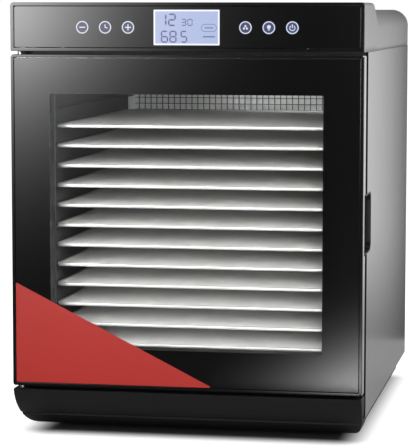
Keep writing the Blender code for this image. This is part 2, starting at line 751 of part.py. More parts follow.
def make_fan():
    """A shroud with a round hole, a motor on a bracket, and a bladed impeller on the motor's shaft."""
    wall = LINER_HALF + SHEET
    shroud_start = GRILLE_START + SHEET + CLEARANCE
    shroud = box(
        "fan_shroud", (-wall, wall), (shroud_start, SHROUD_END), (CEILING - SHEET, FLOOR + SHEET), ZINC
    )
    centre = (0.0, FAN_DROP)
    cut(
        shroud,
        box(
            "plenum",
            (-LINER_HALF, LINER_HALF),
            (shroud_start - OVERRUN, SHROUD_END - SHEET),
            (CEILING, FLOOR),
            None,
        ),
        round_bar(
            "fan_hole",
            centre,
            FAN_RADIUS + FAN_TIP_GAP,
            along_depth,
            (shroud_start, SHROUD_END + OVERRUN),
            None,
            32,
        ),
    )
    make_heater(centre)
    fan_start = SHROUD_END + FAN_SETBACK
    hub_end = fan_start + BLADE_CHORD
    impeller = round_bar("fan_impeller", centre, HUB_RADIUS, along_depth, (fan_start, hub_end), ZINC, 20)
    for index in range(BLADE_COUNT):
        join(impeller, make_blade(index, (fan_start + hub_end) / 2))
    bore = SHAFT_RADIUS + CLEARANCE
    bore_span = (fan_start - OVERRUN, hub_end + OVERRUN)
    cut(impeller, round_bar("hub_bore", centre, bore, along_depth, bore_span, None))
    bracket_start = hub_end + BRACKET_GAP
    motor_start = bracket_start + MOULDING + CLEARANCE
    bore_end = motor_start + SHAFT_SEAT
    shaft_span = (fan_start - LAP, bore_end - PIN_END_GAP)
    round_bar("motor_shaft", centre, SHAFT_RADIUS, along_depth, shaft_span, STEEL)
    motor_span = (motor_start, motor_start + MOTOR_LENGTH)
    motor = round_bar("fan_motor", centre, MOTOR_RADIUS, along_depth, motor_span, ZINC, 24)
    cut(motor, round_bar("motor_bore", centre, bore, along_depth, (motor_start - OVERRUN, bore_end), None))
    make_bracket(centre, bracket_start)


def make_bracket(centre, start):
    """A cross with a leg at the end of each arm, which holds the motor behind the shroud."""
    end = start + MOULDING
    arm = BRACKET_ARM / 2
    leg = BRACKET_LEG / 2
    across = (FAN_DROP - arm, FAN_DROP + arm)
    bracket = box("motor_bracket", (-BRACKET_SPAN, BRACKET_SPAN), (start, end), across, ZINC)
    upright = (FAN_DROP - BRACKET_SPAN, FAN_DROP + BRACKET_SPAN)
    inside = (start + CLEARANCE, end - CLEARANCE)
    join(bracket, box("bracket_upright", (-arm, arm), inside, upright, None))
    further_inside = (inside[0] + CLEARANCE, inside[1] - CLEARANCE)
    join(bracket, round_bar("bracket_pad", centre, MOTOR_RADIUS, along_depth, further_inside, None, 24))
    reach = BRACKET_SPAN + arm / 2
    leg_depths = (SHROUD_END + CLEARANCE, end - 1.5 * CLEARANCE)
    for name, x, drop in (
        ("left", -reach, FAN_DROP),
        ("right", reach, FAN_DROP),
        ("top", 0, FAN_DROP - reach),
        ("bottom", 0, FAN_DROP + reach),
    ):
        leg_drops = (drop - leg, drop + leg)
        join(bracket, box(f"bracket_leg_{name}", (x - leg, x + leg), leg_depths, leg_drops, None))
    hole_span = (start - OVERRUN, end + OVERRUN)
    cut(bracket, round_bar("bracket_hole", centre, SHAFT_RADIUS + LAP, along_depth, hole_span, None))


def make_blade(index, middle):
    """A flat pitched blade from inside the hub to the tip."""
    angle = 2 * math.pi * index / BLADE_COUNT
    chord = BLADE_CHORD / 2 - 2 * CLEARANCE
    thick = BLADE_THICKNESS / 2
    sections = []
    for radius, width in zip((HUB_RADIUS * BLADE_ROOT_SHARE, FAN_RADIUS), BLADE_END_WIDTHS):
        section = []
        for along, across in ((-1, -1), (1, -1), (1, 1), (-1, 1)):
            depth = along * chord * math.cos(BLADE_PITCH) - across * thick * math.sin(BLADE_PITCH)
            side = along * chord * width * math.sin(BLADE_PITCH) + across * thick * math.cos(BLADE_PITCH)
            x = radius * math.cos(angle) - side * math.sin(angle)
            drop = FAN_DROP + radius * math.sin(angle) + side * math.cos(angle)
            section.append((x, back(middle + depth), down(drop)))
        sections.append(section)
    return loft(f"blade_{index}", sections, None)


def make_heater(centre):
    """A round heating element behind the shroud, with its thermal cut-out beside it."""
    around, across = 32, 8
    depth = SHROUD_END + CLEARANCE + HEATER_WIRE
    points = []
    for i in range(around):
        turn = 2 * math.pi * i / around + math.pi / around
        for j in range(across):
            tube = 2 * math.pi * j / across
            radius = HEATER_RADIUS + HEATER_WIRE * math.cos(tube)
            x = centre[0] + radius * math.cos(turn)
            drop = centre[1] + radius * math.sin(turn)
            points.append((x, back(depth + HEATER_WIRE * math.sin(tube)), down(drop)))
    faces = []
    for i in range(around):
        for j in range(across):
            near, far = i * across, (i + 1) % around * across
            step = (j + 1) % across
            faces.append((near + j, near + step, far + step, far + j))
    heater = add("heating_element", points, faces, STEEL, smooth=True)
    end_x = HEATER_RADIUS * math.cos(math.pi / 4)
    end_drop = FAN_DROP - HEATER_RADIUS * math.sin(math.pi / 4)
    end_radius = HEATER_WIRE - CLEARANCE
    end_depths = (depth - HEATER_WIRE / 2, depth + HEATER_END)
    end = (end_x, end_drop)
    join(heater, round_bar("heater_end", end, end_radius, along_depth, end_depths, None, 8))
    place = (HEATER_RADIUS + CUTOUT_PLACE[0], FAN_DROP + CUTOUT_PLACE[1])
    radius, thickness = CUTOUT_SIZE
    cutout_depths = (SHROUD_END + CLEARANCE, SHROUD_END + CLEARANCE + thickness)
    round_bar("thermal_cutout", place, radius, along_depth, cutout_depths, ZINC, 16)


def make_rear():
    """The rear sheet with a louvred hood over the motor, and the power inlet below it."""
    inner = HALF - SHEET - CLEARANCE
    drops = (HEAD_HEIGHT + CLEARANCE, PANEL_DROP - SHEET - CLEARANCE)
    plate = (REAR_PLANE - SHEET - CLEARANCE, REAR_PLANE - CLEARANCE)
    cover = box("rear_cover", (-inner, inner), plate, drops, SATIN_BLACK)
    half = HOOD_SIZE / 2
    hood_top, hood_bottom = FAN_DROP - half, FAN_DROP + half
    hood_depths = (plate[0] + SHEET / 3, DEPTH)
    join(cover, box("rear_hood", (-half, half), hood_depths, (hood_top, hood_bottom), None))
    hollow = (
        (-half + MOULDING, half - MOULDING),
        (plate[0] - OVERRUN, DEPTH - MOULDING),
        (hood_top + MOULDING, hood_bottom - MOULDING),
    )
    cut(cover, box("hood_hollow", *hollow, None))
    side_margin, end_margin = LOUVRE_MARGINS
    pitch = (HOOD_SIZE - 2 * end_margin) / LOUVRE_COUNT
    for index in range(LOUVRE_COUNT):
        top = hood_top + end_margin + (index + 0.5) * pitch - LOUVRE_HEIGHT / 2
        louvre = box(
            f"louvre_{index}",
            (-half + side_margin, half - side_margin),
            (DEPTH - OVERRUN, DEPTH + OVERRUN),
            (top, top + LOUVRE_HEIGHT),
            None,
        )
        cut(cover, louvre)
    window_depths = (plate[0] - OVERRUN, plate[1] + OVERRUN)
    cut(cover, inlet_block("inlet_window", INLET_SIZE, CLEARANCE, window_depths, None))
    make_inlet(plate)


def inlet_block(name, size, margin, depths, values):
    """A block centred on the power inlet."""
    wide, high = size[0] / 2 + margin, size[1] / 2 + margin
    x_range = (INLET_SET - wide, INLET_SET + wide)
    return box(name, x_range, depths, (INLET_DROP - high, INLET_DROP + high), values)


def make_inlet(plate):
    """A flanged block through the rear sheet, with a socket that holds three flat pins."""
    lip, lip_end = INLET_FLANGE
    body = (plate[0] - INLET_BODY, plate[1] + SHEET)
    inlet = inlet_block("power_inlet", INLET_SIZE, 0, body, SATIN_BLACK)
    flange = (plate[1] + CLEARANCE, plate[1] + lip_end)
    join(inlet, inlet_block("inlet_flange", INLET_SIZE, lip, flange, None))
    socket_start = plate[0] - INLET_HOLE_DEPTH
    cut(inlet, inlet_block("inlet_socket", INLET_HOLE, 0, (socket_start, plate[1] + OVERRUN), None))
    thick, tall, length = INLET_PIN
    for index in (-1, 0, 1):
        x = INLET_SET + index * INLET_PIN_PITCH
        drop = INLET_DROP if index else INLET_DROP - INLET_PIN_OFFSET
        pin = box(
            f"inlet_pin_{index + 1}",
            (x - thick / 2, x + thick / 2),
            (socket_start - LAP, socket_start + length),
            (drop - tall / 2, drop + tall / 2),
            None,
        )
        join(inlet, pin)


def chin_drop(depth):
    """The drop at which the chin's curve has gone back this far."""
    left = 1 - (1 - depth / CHIN_SWEEP) ** CHIN_CURVE
    return CHIN_TOP + (CHIN_HEIGHT + CURVE_MARGIN) * left ** (1 / CHIN_CURVE)


def swept_block(name, drops, front_limits, rear, inset, side_inset, values):
    """The swept front of the base between two drops, as a skin through level slices."""
    top, bottom = drops
    sections = []
    for step in range(CURVE_STEPS + 1):
        drop = top + (bottom - top) * step / CURVE_STEPS
        front = min(max(chin_depth(drop) + inset, front_limits[0]), front_limits[1])
        half = chin_half(drop) - side_inset
        corners = ((-half, front), (half, front), (half, rear), (-half, rear))
        sections.append([(x, back(depth), down(drop)) for x, depth in corners])
    return loft(name, sections, values)


def make_chin():
    """The cover below the door, whose face and ends curve back underneath."""
    rear = FRAME_START - CLEARANCE
    bottom = chin_drop(rear - CHIN_END)
    chin = swept_block("base_cover", (CHIN_TOP, bottom), (0, rear), rear, 0, 0, SATIN_BLACK)
    inside = (CHIN_TOP + MOULDING, bottom - CHIN_END)
    hollow_rear = rear + OVERRUN
    hollow = swept_block("chin_hollow", inside, (0, rear), hollow_rear, MOULDING, MOULDING, None)
    cut(chin, hollow, pin_hole("chin_pin_hole", CHIN_TOP))


def make_pan():
    """The tray under the cavity: its nose carries on the chin's curve, and the rest is set in."""
    top = PANEL_DROP - SHEET + CLEARANCE
    half = HALF - PAN_INSET
    end = REAR_PLANE - SHEET - 3 * CLEARANCE
    pan = box("base_pan", (-half, half), (NOSE_END - LAP, end), (top, BODY_HEIGHT), SATIN_BLACK)
    nose_drops = (top + SHEET, BODY_HEIGHT)
    nose_front = (FRAME_START, NOSE_END - LAP)
    join(pan, swept_block("pan_nose", nose_drops, nose_front, NOSE_END, 0, NOSE_SIDE_GAP, None))
    hollow = box(
        "pan_hollow",
        (-half + MOULDING, half - MOULDING),
        (NOSE_END - MOULDING, end - MOULDING),
        (top - OVERRUN, BODY_HEIGHT - MOULDING),
        None,
    )
    cut(pan, hollow)


def make_feet():
    """Four round rubber feet under the pan, each a little narrower where it stands."""
    x = HALF - FOOT_INSET[0]
    near, far = LINER_START + FOOT_INSET[1], REAR_PLANE - FOOT_INSET[1]
    sides = 20
    for name, centre in (
        ("foot_front_left", (-x, near)),
        ("foot_front_right", (x, near)),
        ("foot_rear_left", (-x, far)),
        ("foot_rear_right", (x, far)),
    ):
        points = []
        for radius, z in ((FOOT_RADIUS, FOOT_HEIGHT - CLEARANCE), (FOOT_RADIUS * FOOT_TAPER, 0.0)):
            points += [(u, back(v), z) for u, v in circle(*centre, radius, sides)]
        faces = [(i, (i + 1) % sides, sides + (i + 1) % sides, sides + i) for i in range(sides)]
        faces += [tuple(range(sides)), tuple(range(sides, 2 * sides))]
        add(name, points, faces, RUBBER, smooth=True)


def main():
    for obj in list(bpy.data.objects):
        bpy.data.objects.remove(obj)
    make_top_housing()
    make_head_front()
    make_boards()
    make_side_panels()
    make_finger_pocket()
    make_front_frame()
    make_cavity()
    make_trays()
    make_hinges()
    make_door()
    make_fan()
    make_rear()
    make_chin()
    make_pan()
    make_feet()


main()
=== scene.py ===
"""Looks of a cabinet food dehydrator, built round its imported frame.

Metres, +Z up, the door faces -Y. Depths are measured back from the front face and drops down from the
top. Surfaces are numpy arrays: loops stacked into skins, profiles turned about an axis, or grids.
"""

import json
import math

import bmesh
import bpy
import numpy as np
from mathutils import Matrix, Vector

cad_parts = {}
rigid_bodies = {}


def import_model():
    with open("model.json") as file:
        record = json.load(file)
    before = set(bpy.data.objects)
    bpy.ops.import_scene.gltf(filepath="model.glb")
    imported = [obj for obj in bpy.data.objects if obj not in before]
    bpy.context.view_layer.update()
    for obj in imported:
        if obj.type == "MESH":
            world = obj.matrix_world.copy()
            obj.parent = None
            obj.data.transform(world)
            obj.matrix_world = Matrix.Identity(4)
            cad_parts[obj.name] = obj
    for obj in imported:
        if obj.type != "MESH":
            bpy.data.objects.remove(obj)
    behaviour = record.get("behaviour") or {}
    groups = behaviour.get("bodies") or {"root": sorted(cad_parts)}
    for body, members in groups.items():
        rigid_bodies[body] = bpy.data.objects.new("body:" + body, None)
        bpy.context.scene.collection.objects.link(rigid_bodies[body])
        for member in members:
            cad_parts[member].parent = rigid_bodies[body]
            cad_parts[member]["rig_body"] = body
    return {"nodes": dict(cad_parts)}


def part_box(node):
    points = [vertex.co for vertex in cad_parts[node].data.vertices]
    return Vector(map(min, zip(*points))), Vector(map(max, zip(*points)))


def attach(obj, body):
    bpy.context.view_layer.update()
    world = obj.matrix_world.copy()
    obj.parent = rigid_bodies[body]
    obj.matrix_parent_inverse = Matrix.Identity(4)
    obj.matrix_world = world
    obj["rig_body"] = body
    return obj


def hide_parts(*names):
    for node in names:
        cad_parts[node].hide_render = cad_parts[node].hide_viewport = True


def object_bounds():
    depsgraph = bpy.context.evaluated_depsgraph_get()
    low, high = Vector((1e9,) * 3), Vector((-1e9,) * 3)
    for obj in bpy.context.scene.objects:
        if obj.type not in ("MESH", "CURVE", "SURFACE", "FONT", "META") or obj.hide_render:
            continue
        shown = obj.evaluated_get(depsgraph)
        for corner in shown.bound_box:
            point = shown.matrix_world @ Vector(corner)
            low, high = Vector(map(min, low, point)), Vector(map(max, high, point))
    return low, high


bl_info = {
    "name": "Food Dehydrator",
    "version": (1, 0, 0),
    "blender": (4, 5, 0),
    "location": "View3D > Sidebar > Dehydrator",
    "description": "Builds the housing, door, trays, works and stage of a cabinet food dehydrator",
    "category": "Object",
}

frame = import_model()
CAD_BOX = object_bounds()
LOW, HIGH = (np.array(corner) for corner in CAD_BOX)
FRONT, TOP, HALF = LOW[1], HIGH[2], HIGH[0]
MM = 0.001


# ---------------------------------------------------------------- shapes


def back(depth):
    """Y of a depth behind the front face."""
    return FRONT + depth


def down(drop):
    """Z of a drop below the top."""
    return TOP - drop


def corners_of(node):
    """The two corners of a node's box, as arrays."""
    return [np.array(corner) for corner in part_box(node)]


def grid_faces(rows, columns, closed_rows=False, closed_columns=False):
    """Quads between neighbouring points of a grid. A closed side joins its last line to its first."""
    row = np.arange(rows if closed_rows else rows - 1)
    column = np.arange(columns if closed_columns else columns - 1)
    r, c = np.meshgrid(row, column, indexing="ij")
    next_r, next_c = (r + 1) % rows, (c + 1) % columns
    corners = [r * columns + c, r * columns + next_c, next_r * columns + next_c, next_r * columns + c]
    return np.stack(corners, -1).reshape(-1, 4).tolist()


def skin(sections, ring=False):
    """Closed loops stacked in order, shape (rows, points, 3). A ring's last loop meets its first;
    otherwise a flat face closes each end."""
    sections = np.asarray(sections, float)
    rows, count = sections.shape[:2]
    faces = grid_faces(rows, count, closed_rows=ring, closed_columns=True)
    if not ring:
        faces += [list(range(count))[::-1], list(range((rows - 1) * count, rows * count))]
    return sections.reshape(-1, 3), faces


def joined(shapes):
    """Several shapes as one, with each shape's face numbers moved past the points before it."""
    offsets = np.cumsum([0] + [len(points) for points, _ in shapes[:-1]])
    faces = [[i + offset for i in face] for offset, (_, fs) in zip(offsets.tolist(), shapes) for face in fs]
    return np.concatenate([points for points, _ in shapes]), faces


def rounded_loop(half, low, high, low_radius, high_radius=None, steps=6, middle=0.0):
    """A rectangle with quarter circles for corners, as (u, v) points that run anticlockwise."""
    high_radius = low_radius if high_radius is None else high_radius
    turn = np.linspace(0, math.pi / 2, steps)
    parts = []
    for index, (sign_u, v, radius) in enumerate(
        ((1, low, low_radius), (1, high, high_radius), (-1, high, high_radius), (-1, low, low_radius))
    ):
        angle = turn + (index - 1) * math.pi / 2
        centre_u = middle + sign_u * (half - radius)
        centre_v = v + radius if v == low else v - radius
        parts.append(np.stack([centre_u + radius * np.cos(angle), centre_v + radius * np.sin(angle)], -1))
    return np.concatenate(parts)


def spots(x, y, z):
    """Points from three coordinates, each an array or one number for all."""
    return np.stack(np.broadcast_arrays(x, y, z), -1)


def upright(loop, y):
    """A loop of (x, z) points at one Y."""
    return spots(loop[:, 0], y, loop[:, 1])


def level(loop, z):
    """A loop of (x, y) points at one Z."""
    return spots(loop[:, 0], loop[:, 1], z)


def sideways(loop, x):
    """A loop of (y, z) points at one X."""
    return spots(x, loop[:, 0], loop[:, 1])


def upright_stack(low, high, radius, rows, top_radius=None, ring=False, steps=6):
    """Rounded rectangles in front view. Each row is (inset, y): the loop shrinks by the inset."""
    middle = (low[0] + high[0]) / 2
    sections = []
    for inset, y in rows:
        small = max(radius - inset, 0.2 * MM)
        small_top = max((radius if top_radius is None else top_radius) - inset, 0.2 * MM)
        half = (high[0] - low[0]) / 2 - inset
        loop = rounded_loop(half, low[2] + inset, high[2] - inset, small, small_top, steps, middle)
        sections.append(upright(loop, y))
    return skin(sections, ring)


def slab_rows(start, end, edge, steps=4):
    """Rows of a slab between two positions, with both its edges rounded by quarter circles."""
    turn = np.linspace(0, math.pi / 2, steps)
    sign = 1 if end > start else -1
    near = [(edge * (1 - math.sin(a)), start + sign * edge * (1 - math.cos(a))) for a in turn]
    far = [(edge * (1 - math.cos(a)), end - sign * edge * (1 - math.sin(a))) for a in turn]
    return near + far


def slab(node_or_box, radius, edge, top_radius=None):
    """A node's box as an upright slab with round corners and softened edges."""
    low, high = corners_of(node_or_box) if isinstance(node_or_box, str) else node_or_box
    return upright_stack(low, high, radius, slab_rows(low[1], high[1], edge), top_radius)


def frame_rows(width, start, end, edge, steps=4):
    """Rows round the section of a frame: outer side, front and inner side, with round front edges."""
    turn = np.linspace(0, math.pi / 2, steps)
    outer = [(edge * (1 - math.cos(a)), start + edge * (1 - math.sin(a))) for a in turn]
    inner = [(width - edge * (1 - math.sin(a)), start + edge * (1 - math.cos(a))) for a in turn]
    return [(0.0, end)] + outer + inner + [(width, end)]


def turned(profile, centre, axis, sides=48):
    """A profile of (radius, distance) turned about an axis through centre; a radius of 0 is a pole."""
    profile = np.asarray(profile, float)
    axis = np.asarray(axis, float)
    across = np.cross(axis, (0, 0, 1) if abs(axis[2]) < 0.9 else (1, 0, 0))
    across /= np.linalg.norm(across)
    other = np.cross(axis, across)
    angle = np.linspace(0, 2 * math.pi, sides, endpoint=False)
    spoke = np.cos(angle)[:, None] * across + np.sin(angle)[:, None] * other
    points = centre + profile[:, 1, None, None] * axis + profile[:, 0, None, None] * spoke
    return skin(points)


def prism(outline, place, start, end):
    """An outline of (u, v) points carried straight from start to end."""
    return skin([place(np.asarray(outline, float), value) for value in (start, end)])


def block(low, high):
    """A plain block between two corners."""
    loop = np.array([(low[0], low[1]), (high[0], low[1]), (high[0], high[1]), (low[0], high[1])])
    return skin([level(loop, low[2]), level(loop, high[2])])


def wires(starts, ends, radius, sides=6):
    """Straight round wires between matching rows of two arrays, all worked out at once."""
    starts, ends = np.asarray(starts, float), np.asarray(ends, float)
    run = ends - starts
    run /= np.linalg.norm(run, axis=1)[:, None]
    helper = np.where(np.abs(run[:, 2:3]) < 0.9, [[0.0, 0.0, 1.0]], [[1.0, 0.0, 0.0]])
    across = np.cross(run, helper)
    across /= np.linalg.norm(across, axis=1)[:, None]
    other = np.cross(run, across)
    angle = np.linspace(0, 2 * math.pi, sides, endpoint=False)
    spoke = np.cos(angle)[None, :, None] * across[:, None] + np.sin(angle)[None, :, None] * other[:, None]
    points = np.stack([starts[:, None] + radius * spoke, ends[:, None] + radius * spoke], 1)
    count = len(starts)
    base = np.arange(count)[:, None] * 2 * sides
    i = np.arange(sides)
    j = (i + 1) % sides
    sides_of = np.stack([base + i, base + j, base + sides + j, base + sides + i], -1).reshape(-1, 4).tolist()
    caps = (base + i[::-1]).tolist() + (base + sides + i).tolist()
    return points.reshape(-1, 3), sides_of + caps


# ---------------------------------------------------------------- pieces


def piece(name, shapes, coat, body="root", replaces=(), bevel=0.0, sharp=35):
    """A finished piece at the origin: doubles merged, faces turned outwards, sharp edges kept sharp."""
    points, faces = joined(shapes if isinstance(shapes, list) else [shapes])
    mesh = bpy.data.meshes.new(name)
    mesh.from_pydata(points.tolist(), [], faces)
    shape = bmesh.new()
    shape.from_mesh(mesh)
    bmesh.ops.remove_doubles(shape, verts=shape.verts, dist=1e-6)
    bmesh.ops.recalc_face_normals(shape, faces=shape.faces)
    shape.to_mesh(mesh)
    shape.free()
    return placed(bpy.data.objects.new(name, mesh), coat, body, replaces, bevel, sharp)


def placed(obj, coat, body, replaces, bevel, sharp):
    """Gives a mesh object its material by name, its soft edges, its body and the nodes that it stands for."""
    mesh = obj.data
    mesh.materials.clear()
    mesh.materials.append(material(coat))
    mesh.shade_smooth()
    mesh.set_sharp_from_angle(angle=math.radians(sharp))
    bpy.context.scene.collection.objects.link(obj)
    if bevel:
        modifier = obj.modifiers.new("soft edges", "BEVEL")
        modifier.width = bevel
        modifier.segments = 3
        modifier.limit_method = "ANGLE"
        modifier.angle_limit = math.radians(40)
    flat = obj.modifiers.new("flat faces", "WEIGHTED_NORMAL")
    flat.keep_sharp = True
    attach(obj, body)
    nodes = (replaces,) if isinstance(replaces, str) else replaces
    if nodes:
        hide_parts(*nodes)
    return obj


def body_of(node):
    return frame["nodes"][node]["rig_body"]


def softened(node, coat, bevel):
    """A copy of a CAD node with its doubles merged and its edges rounded, which stands for the node."""
    mesh = frame["nodes"][node].data.copy()
    shape = bmesh.new()
    shape.from_mesh(mesh)
    bmesh.ops.remove_doubles(shape, verts=shape.verts, dist=1e-6)
    bmesh.ops.dissolve_limit(
        shape, angle_limit=math.radians(1), verts=shape.verts, edges=shape.edges
    )
    shape.to_mesh(mesh)
    shape.free()
    obj = bpy.data.objects.new(node + "_finished", mesh)
    return placed(obj, coat, body_of(node), node, bevel, 30)


def dress(coat, *nodes):
    """Gives CAD nodes whose shape is right their own finish."""
    for node in nodes:
        slots = frame["nodes"][node].data.materials
        slots.clear()
        slots.append(material(coat))


def carved(obj, shapes):
    """Takes shapes away from a piece and keeps the result as its mesh."""
    points, faces = joined(shapes)
    mesh = bpy.data.meshes.new("cutter")
    mesh.from_pydata(points.tolist(), [], faces)
    cutter_shape = bmesh.new()
    cutter_shape.from_mesh(mesh)
    bmesh.ops.recalc_face_normals(cutter_shape, faces=cutter_shape.faces)
    cutter_shape.to_mesh(mesh)
    cutter_shape.free()
    cutter = bpy.data.objects.new("cutter", mesh)
    bpy.context.scene.collection.objects.link(cutter)
    modifier = obj.modifiers.new("cut", "BOOLEAN")
    modifier.object = cutter
    modifier.solver = "EXACT"
    bpy.context.view_layer.update()
    graph = bpy.context.evaluated_depsgraph_get()
    result = bpy.data.meshes.new_from_object(obj.evaluated_get(graph))
    obj.modifiers.remove(modifier)
    result.name = obj.data.name
    obj.data = result
    bpy.data.objects.remove(cutter)
    return obj


# ---------------------------------------------------------------- materials


class Nodes:
    """Short calls for a node tree. A value may be a number, a colour or another node's socket."""

    def __init__(self, owner, clear=False):
        owner.use_nodes = True
        self.nodes, self.links = owner.node_tree.nodes, owner.node_tree.links
        if clear:
            self.nodes.clear()

    def join(self, socket, value):
        """Fills a socket: a link where the value is a socket, and otherwise its own value."""
        if isinstance(value, bpy.types.NodeSocket):
            self.links.new(value, socket)
        else:
            socket.default_value = value

    def add(self, kind, *values, **named):
        """A node. values fill its first sockets; named ones are settings, or sockets with _ for a space."""
        node = self.nodes.new("ShaderNode" + kind)
        for key, value in named.items():
            if hasattr(node, key):
                setattr(node, key, value)
            else:
                self.join(node.inputs[key.replace("_", " ")], value)
        for socket, value in zip(node.inputs, values):
            self.join(socket, value)
        return node

    def fill(self, **values):
        """Fills sockets of the material's own shader."""
        for key, value in values.items():
            self.join(self.nodes["Principled BSDF"].inputs[key.replace("_", " ")], value)

    def place(self):
        return self.add("TexCoord").outputs["Object"]

    def along(self, axis):
        return self.add("SeparateXYZ", self.place()).outputs[axis]

    def grain(self, scale, stretch=(1, 1, 1), detail=2.0):
        """Noise on Object coordinates; a stretch below 1 along an axis draws the grain out along it."""
        place = self.add("Mapping", Vector=self.place(), Scale=stretch).outputs["Vector"]
        noise = self.add("TexNoise", Vector=place, Scale=scale, Detail=detail, Roughness=0.5)
        return noise.outputs["Fac"]

    def ranged(self, source, low, high, start=0.0, end=1.0, kind="LINEAR"):
        """A value between start and end spread between two others."""
        spread = self.add("MapRange", source, start, end, low, high, interpolation_type=kind)
        return spread.outputs["Result"]

    def tinted(self, share, first, second):
        """A colour between two; each may be a socket."""
        mix = self.add("Mix", share, data_type="RGBA")
        for socket, value in zip(mix.inputs[6:8], (first, second)):
            self.join(socket, (*value, 1) if isinstance(value, tuple) else value)
        return mix.outputs[2]

    def bumped(self, height, distance):
        self.fill(Normal=self.add("Bump", Height=height, Distance=distance, Strength=1.0).outputs["Normal"])

    def math(self, operation, first, second):
        return self.add("Math", first, second, operation=operation).outputs[0]

    def vector(self, operation, *values):
        return self.add("VectorMath", *values, operation=operation)

    def mixed(self, share, first, second):
        return self.add("MixShader", share, first, second).outputs[0]

    def background(self, value):
        return self.add("Background", (1, 1, 1, 1), value).outputs[0]


def toned(colour, share):
    return tuple(min(1.0, c * share) for c in colour)


def new_material(name, clear=False):
    made = bpy.data.materials.new(name)
    return made, Nodes(made, clear)


def finish(name, colour, metallic, roughness, fine, coarse, bump, vary, stretch=(1, 1, 1), **sockets):
    """The finish that most parts share: fine grain drives roughness and bump, and a coarse drift
    changes the colour a little. fine, coarse and bump are in mm."""
    made, nodes = new_material(name)
    small = nodes.grain(1 / (fine * MM), stretch, 3.0)
    large = nodes.grain(1 / (coarse * MM), stretch)
    base = nodes.tinted(large, toned(colour, 1 - vary), toned(colour, 1 + vary))
    nodes.fill(Metallic=metallic, Base_Color=base, Roughness=nodes.ranged(small, *roughness), **sockets)
    nodes.bumped(small, bump * MM)
    return made, nodes


def window_glass():
    """Clear tempered glass, faintly grey, which lets lamps through to the trays."""
    made, nodes = new_material("window glass")
    cloud = nodes.grain(9.0)
    nodes.fill(
        Base_Color=nodes.tinted(cloud, (0.90, 0.91, 0.91), (0.93, 0.94, 0.94)),
        Roughness=nodes.ranged(cloud, 0.0, 0.012),
        Transmission_Weight=1.0,
        IOR=1.22,
    )
    clear = nodes.add("BsdfTransparent", (0.93, 0.94, 0.94, 1)).outputs[0]
    glass = nodes.nodes["Principled BSDF"].outputs[0]
    passed = nodes.mixed(nodes.add("LightPath").outputs["Is Shadow Ray"], glass, clear)
    nodes.join(nodes.nodes["Material Output"].inputs["Surface"], passed)
    return made


def zinc():
    """Zinc plate: large soft spangles, each a slightly different grey."""
    made, nodes = finish("zinc plate", (0.50, 0.51, 0.52), 1.0, (0.32, 0.48), 0.8, 20, 0.01, 0.08)
    cells = nodes.add("TexVoronoi", Vector=nodes.place(), Scale=190.0).outputs["Distance"]
    nodes.fill(Base_Color=nodes.tinted(cells, (0.44, 0.45, 0.46), (0.56, 0.57, 0.58)))
    return made


def circuit_board():
    """Green solder mask with copper tracks showing through in a square pattern."""
    made, nodes = finish("circuit board", (0.02, 0.12, 0.055), 0.0, (0.30, 0.42), 2, 10, 0.01, 0.1)
    tracks = nodes.add(
        "TexBrick",
        Vector=nodes.place(),
        Scale=160.0,
        Color1=(0.018, 0.11, 0.05, 1),
        Color2=(0.022, 0.13, 0.06, 1),
        Mortar=(0.06, 0.20, 0.08, 1),
    )
    nodes.fill(Base_Color=tracks.outputs["Color"])
    return made


def corner_film():
    """Red film on the glass, a little paler towards its upper corner."""
    made, nodes = new_material("corner film")
    colours = bpy.context.scene.dehydrator_colours
    height = nodes.ranged(nodes.along("Z"), 0.0, 1.0, down(0.455), down(0.340))
    small = nodes.grain(900.0)
    nodes.fill(
        Base_Color=nodes.tinted(height, tuple(colours.patch_low), tuple(colours.patch_high)),
        Roughness=nodes.ranged(small, 0.28, 0.36),
    )
    nodes.bumped(small, 0.000004)
    return made


def glowing(name, left, right, reach):
    """A lit, slightly uneven surface: its colour drifts along X between -reach and reach."""
    made, nodes = new_material(name)
    share = nodes.ranged(nodes.along("X"), 0.0, 1.0, -reach, reach)
    nodes.fill(
        Emission_Color=nodes.tinted(share, left, right),
        Roughness=nodes.ranged(nodes.grain(700.0), 0.30, 0.36),
        Emission_Strength=1.0,
        Base_Color=(0.02, 0.02, 0.02, 1),
    )
    return made


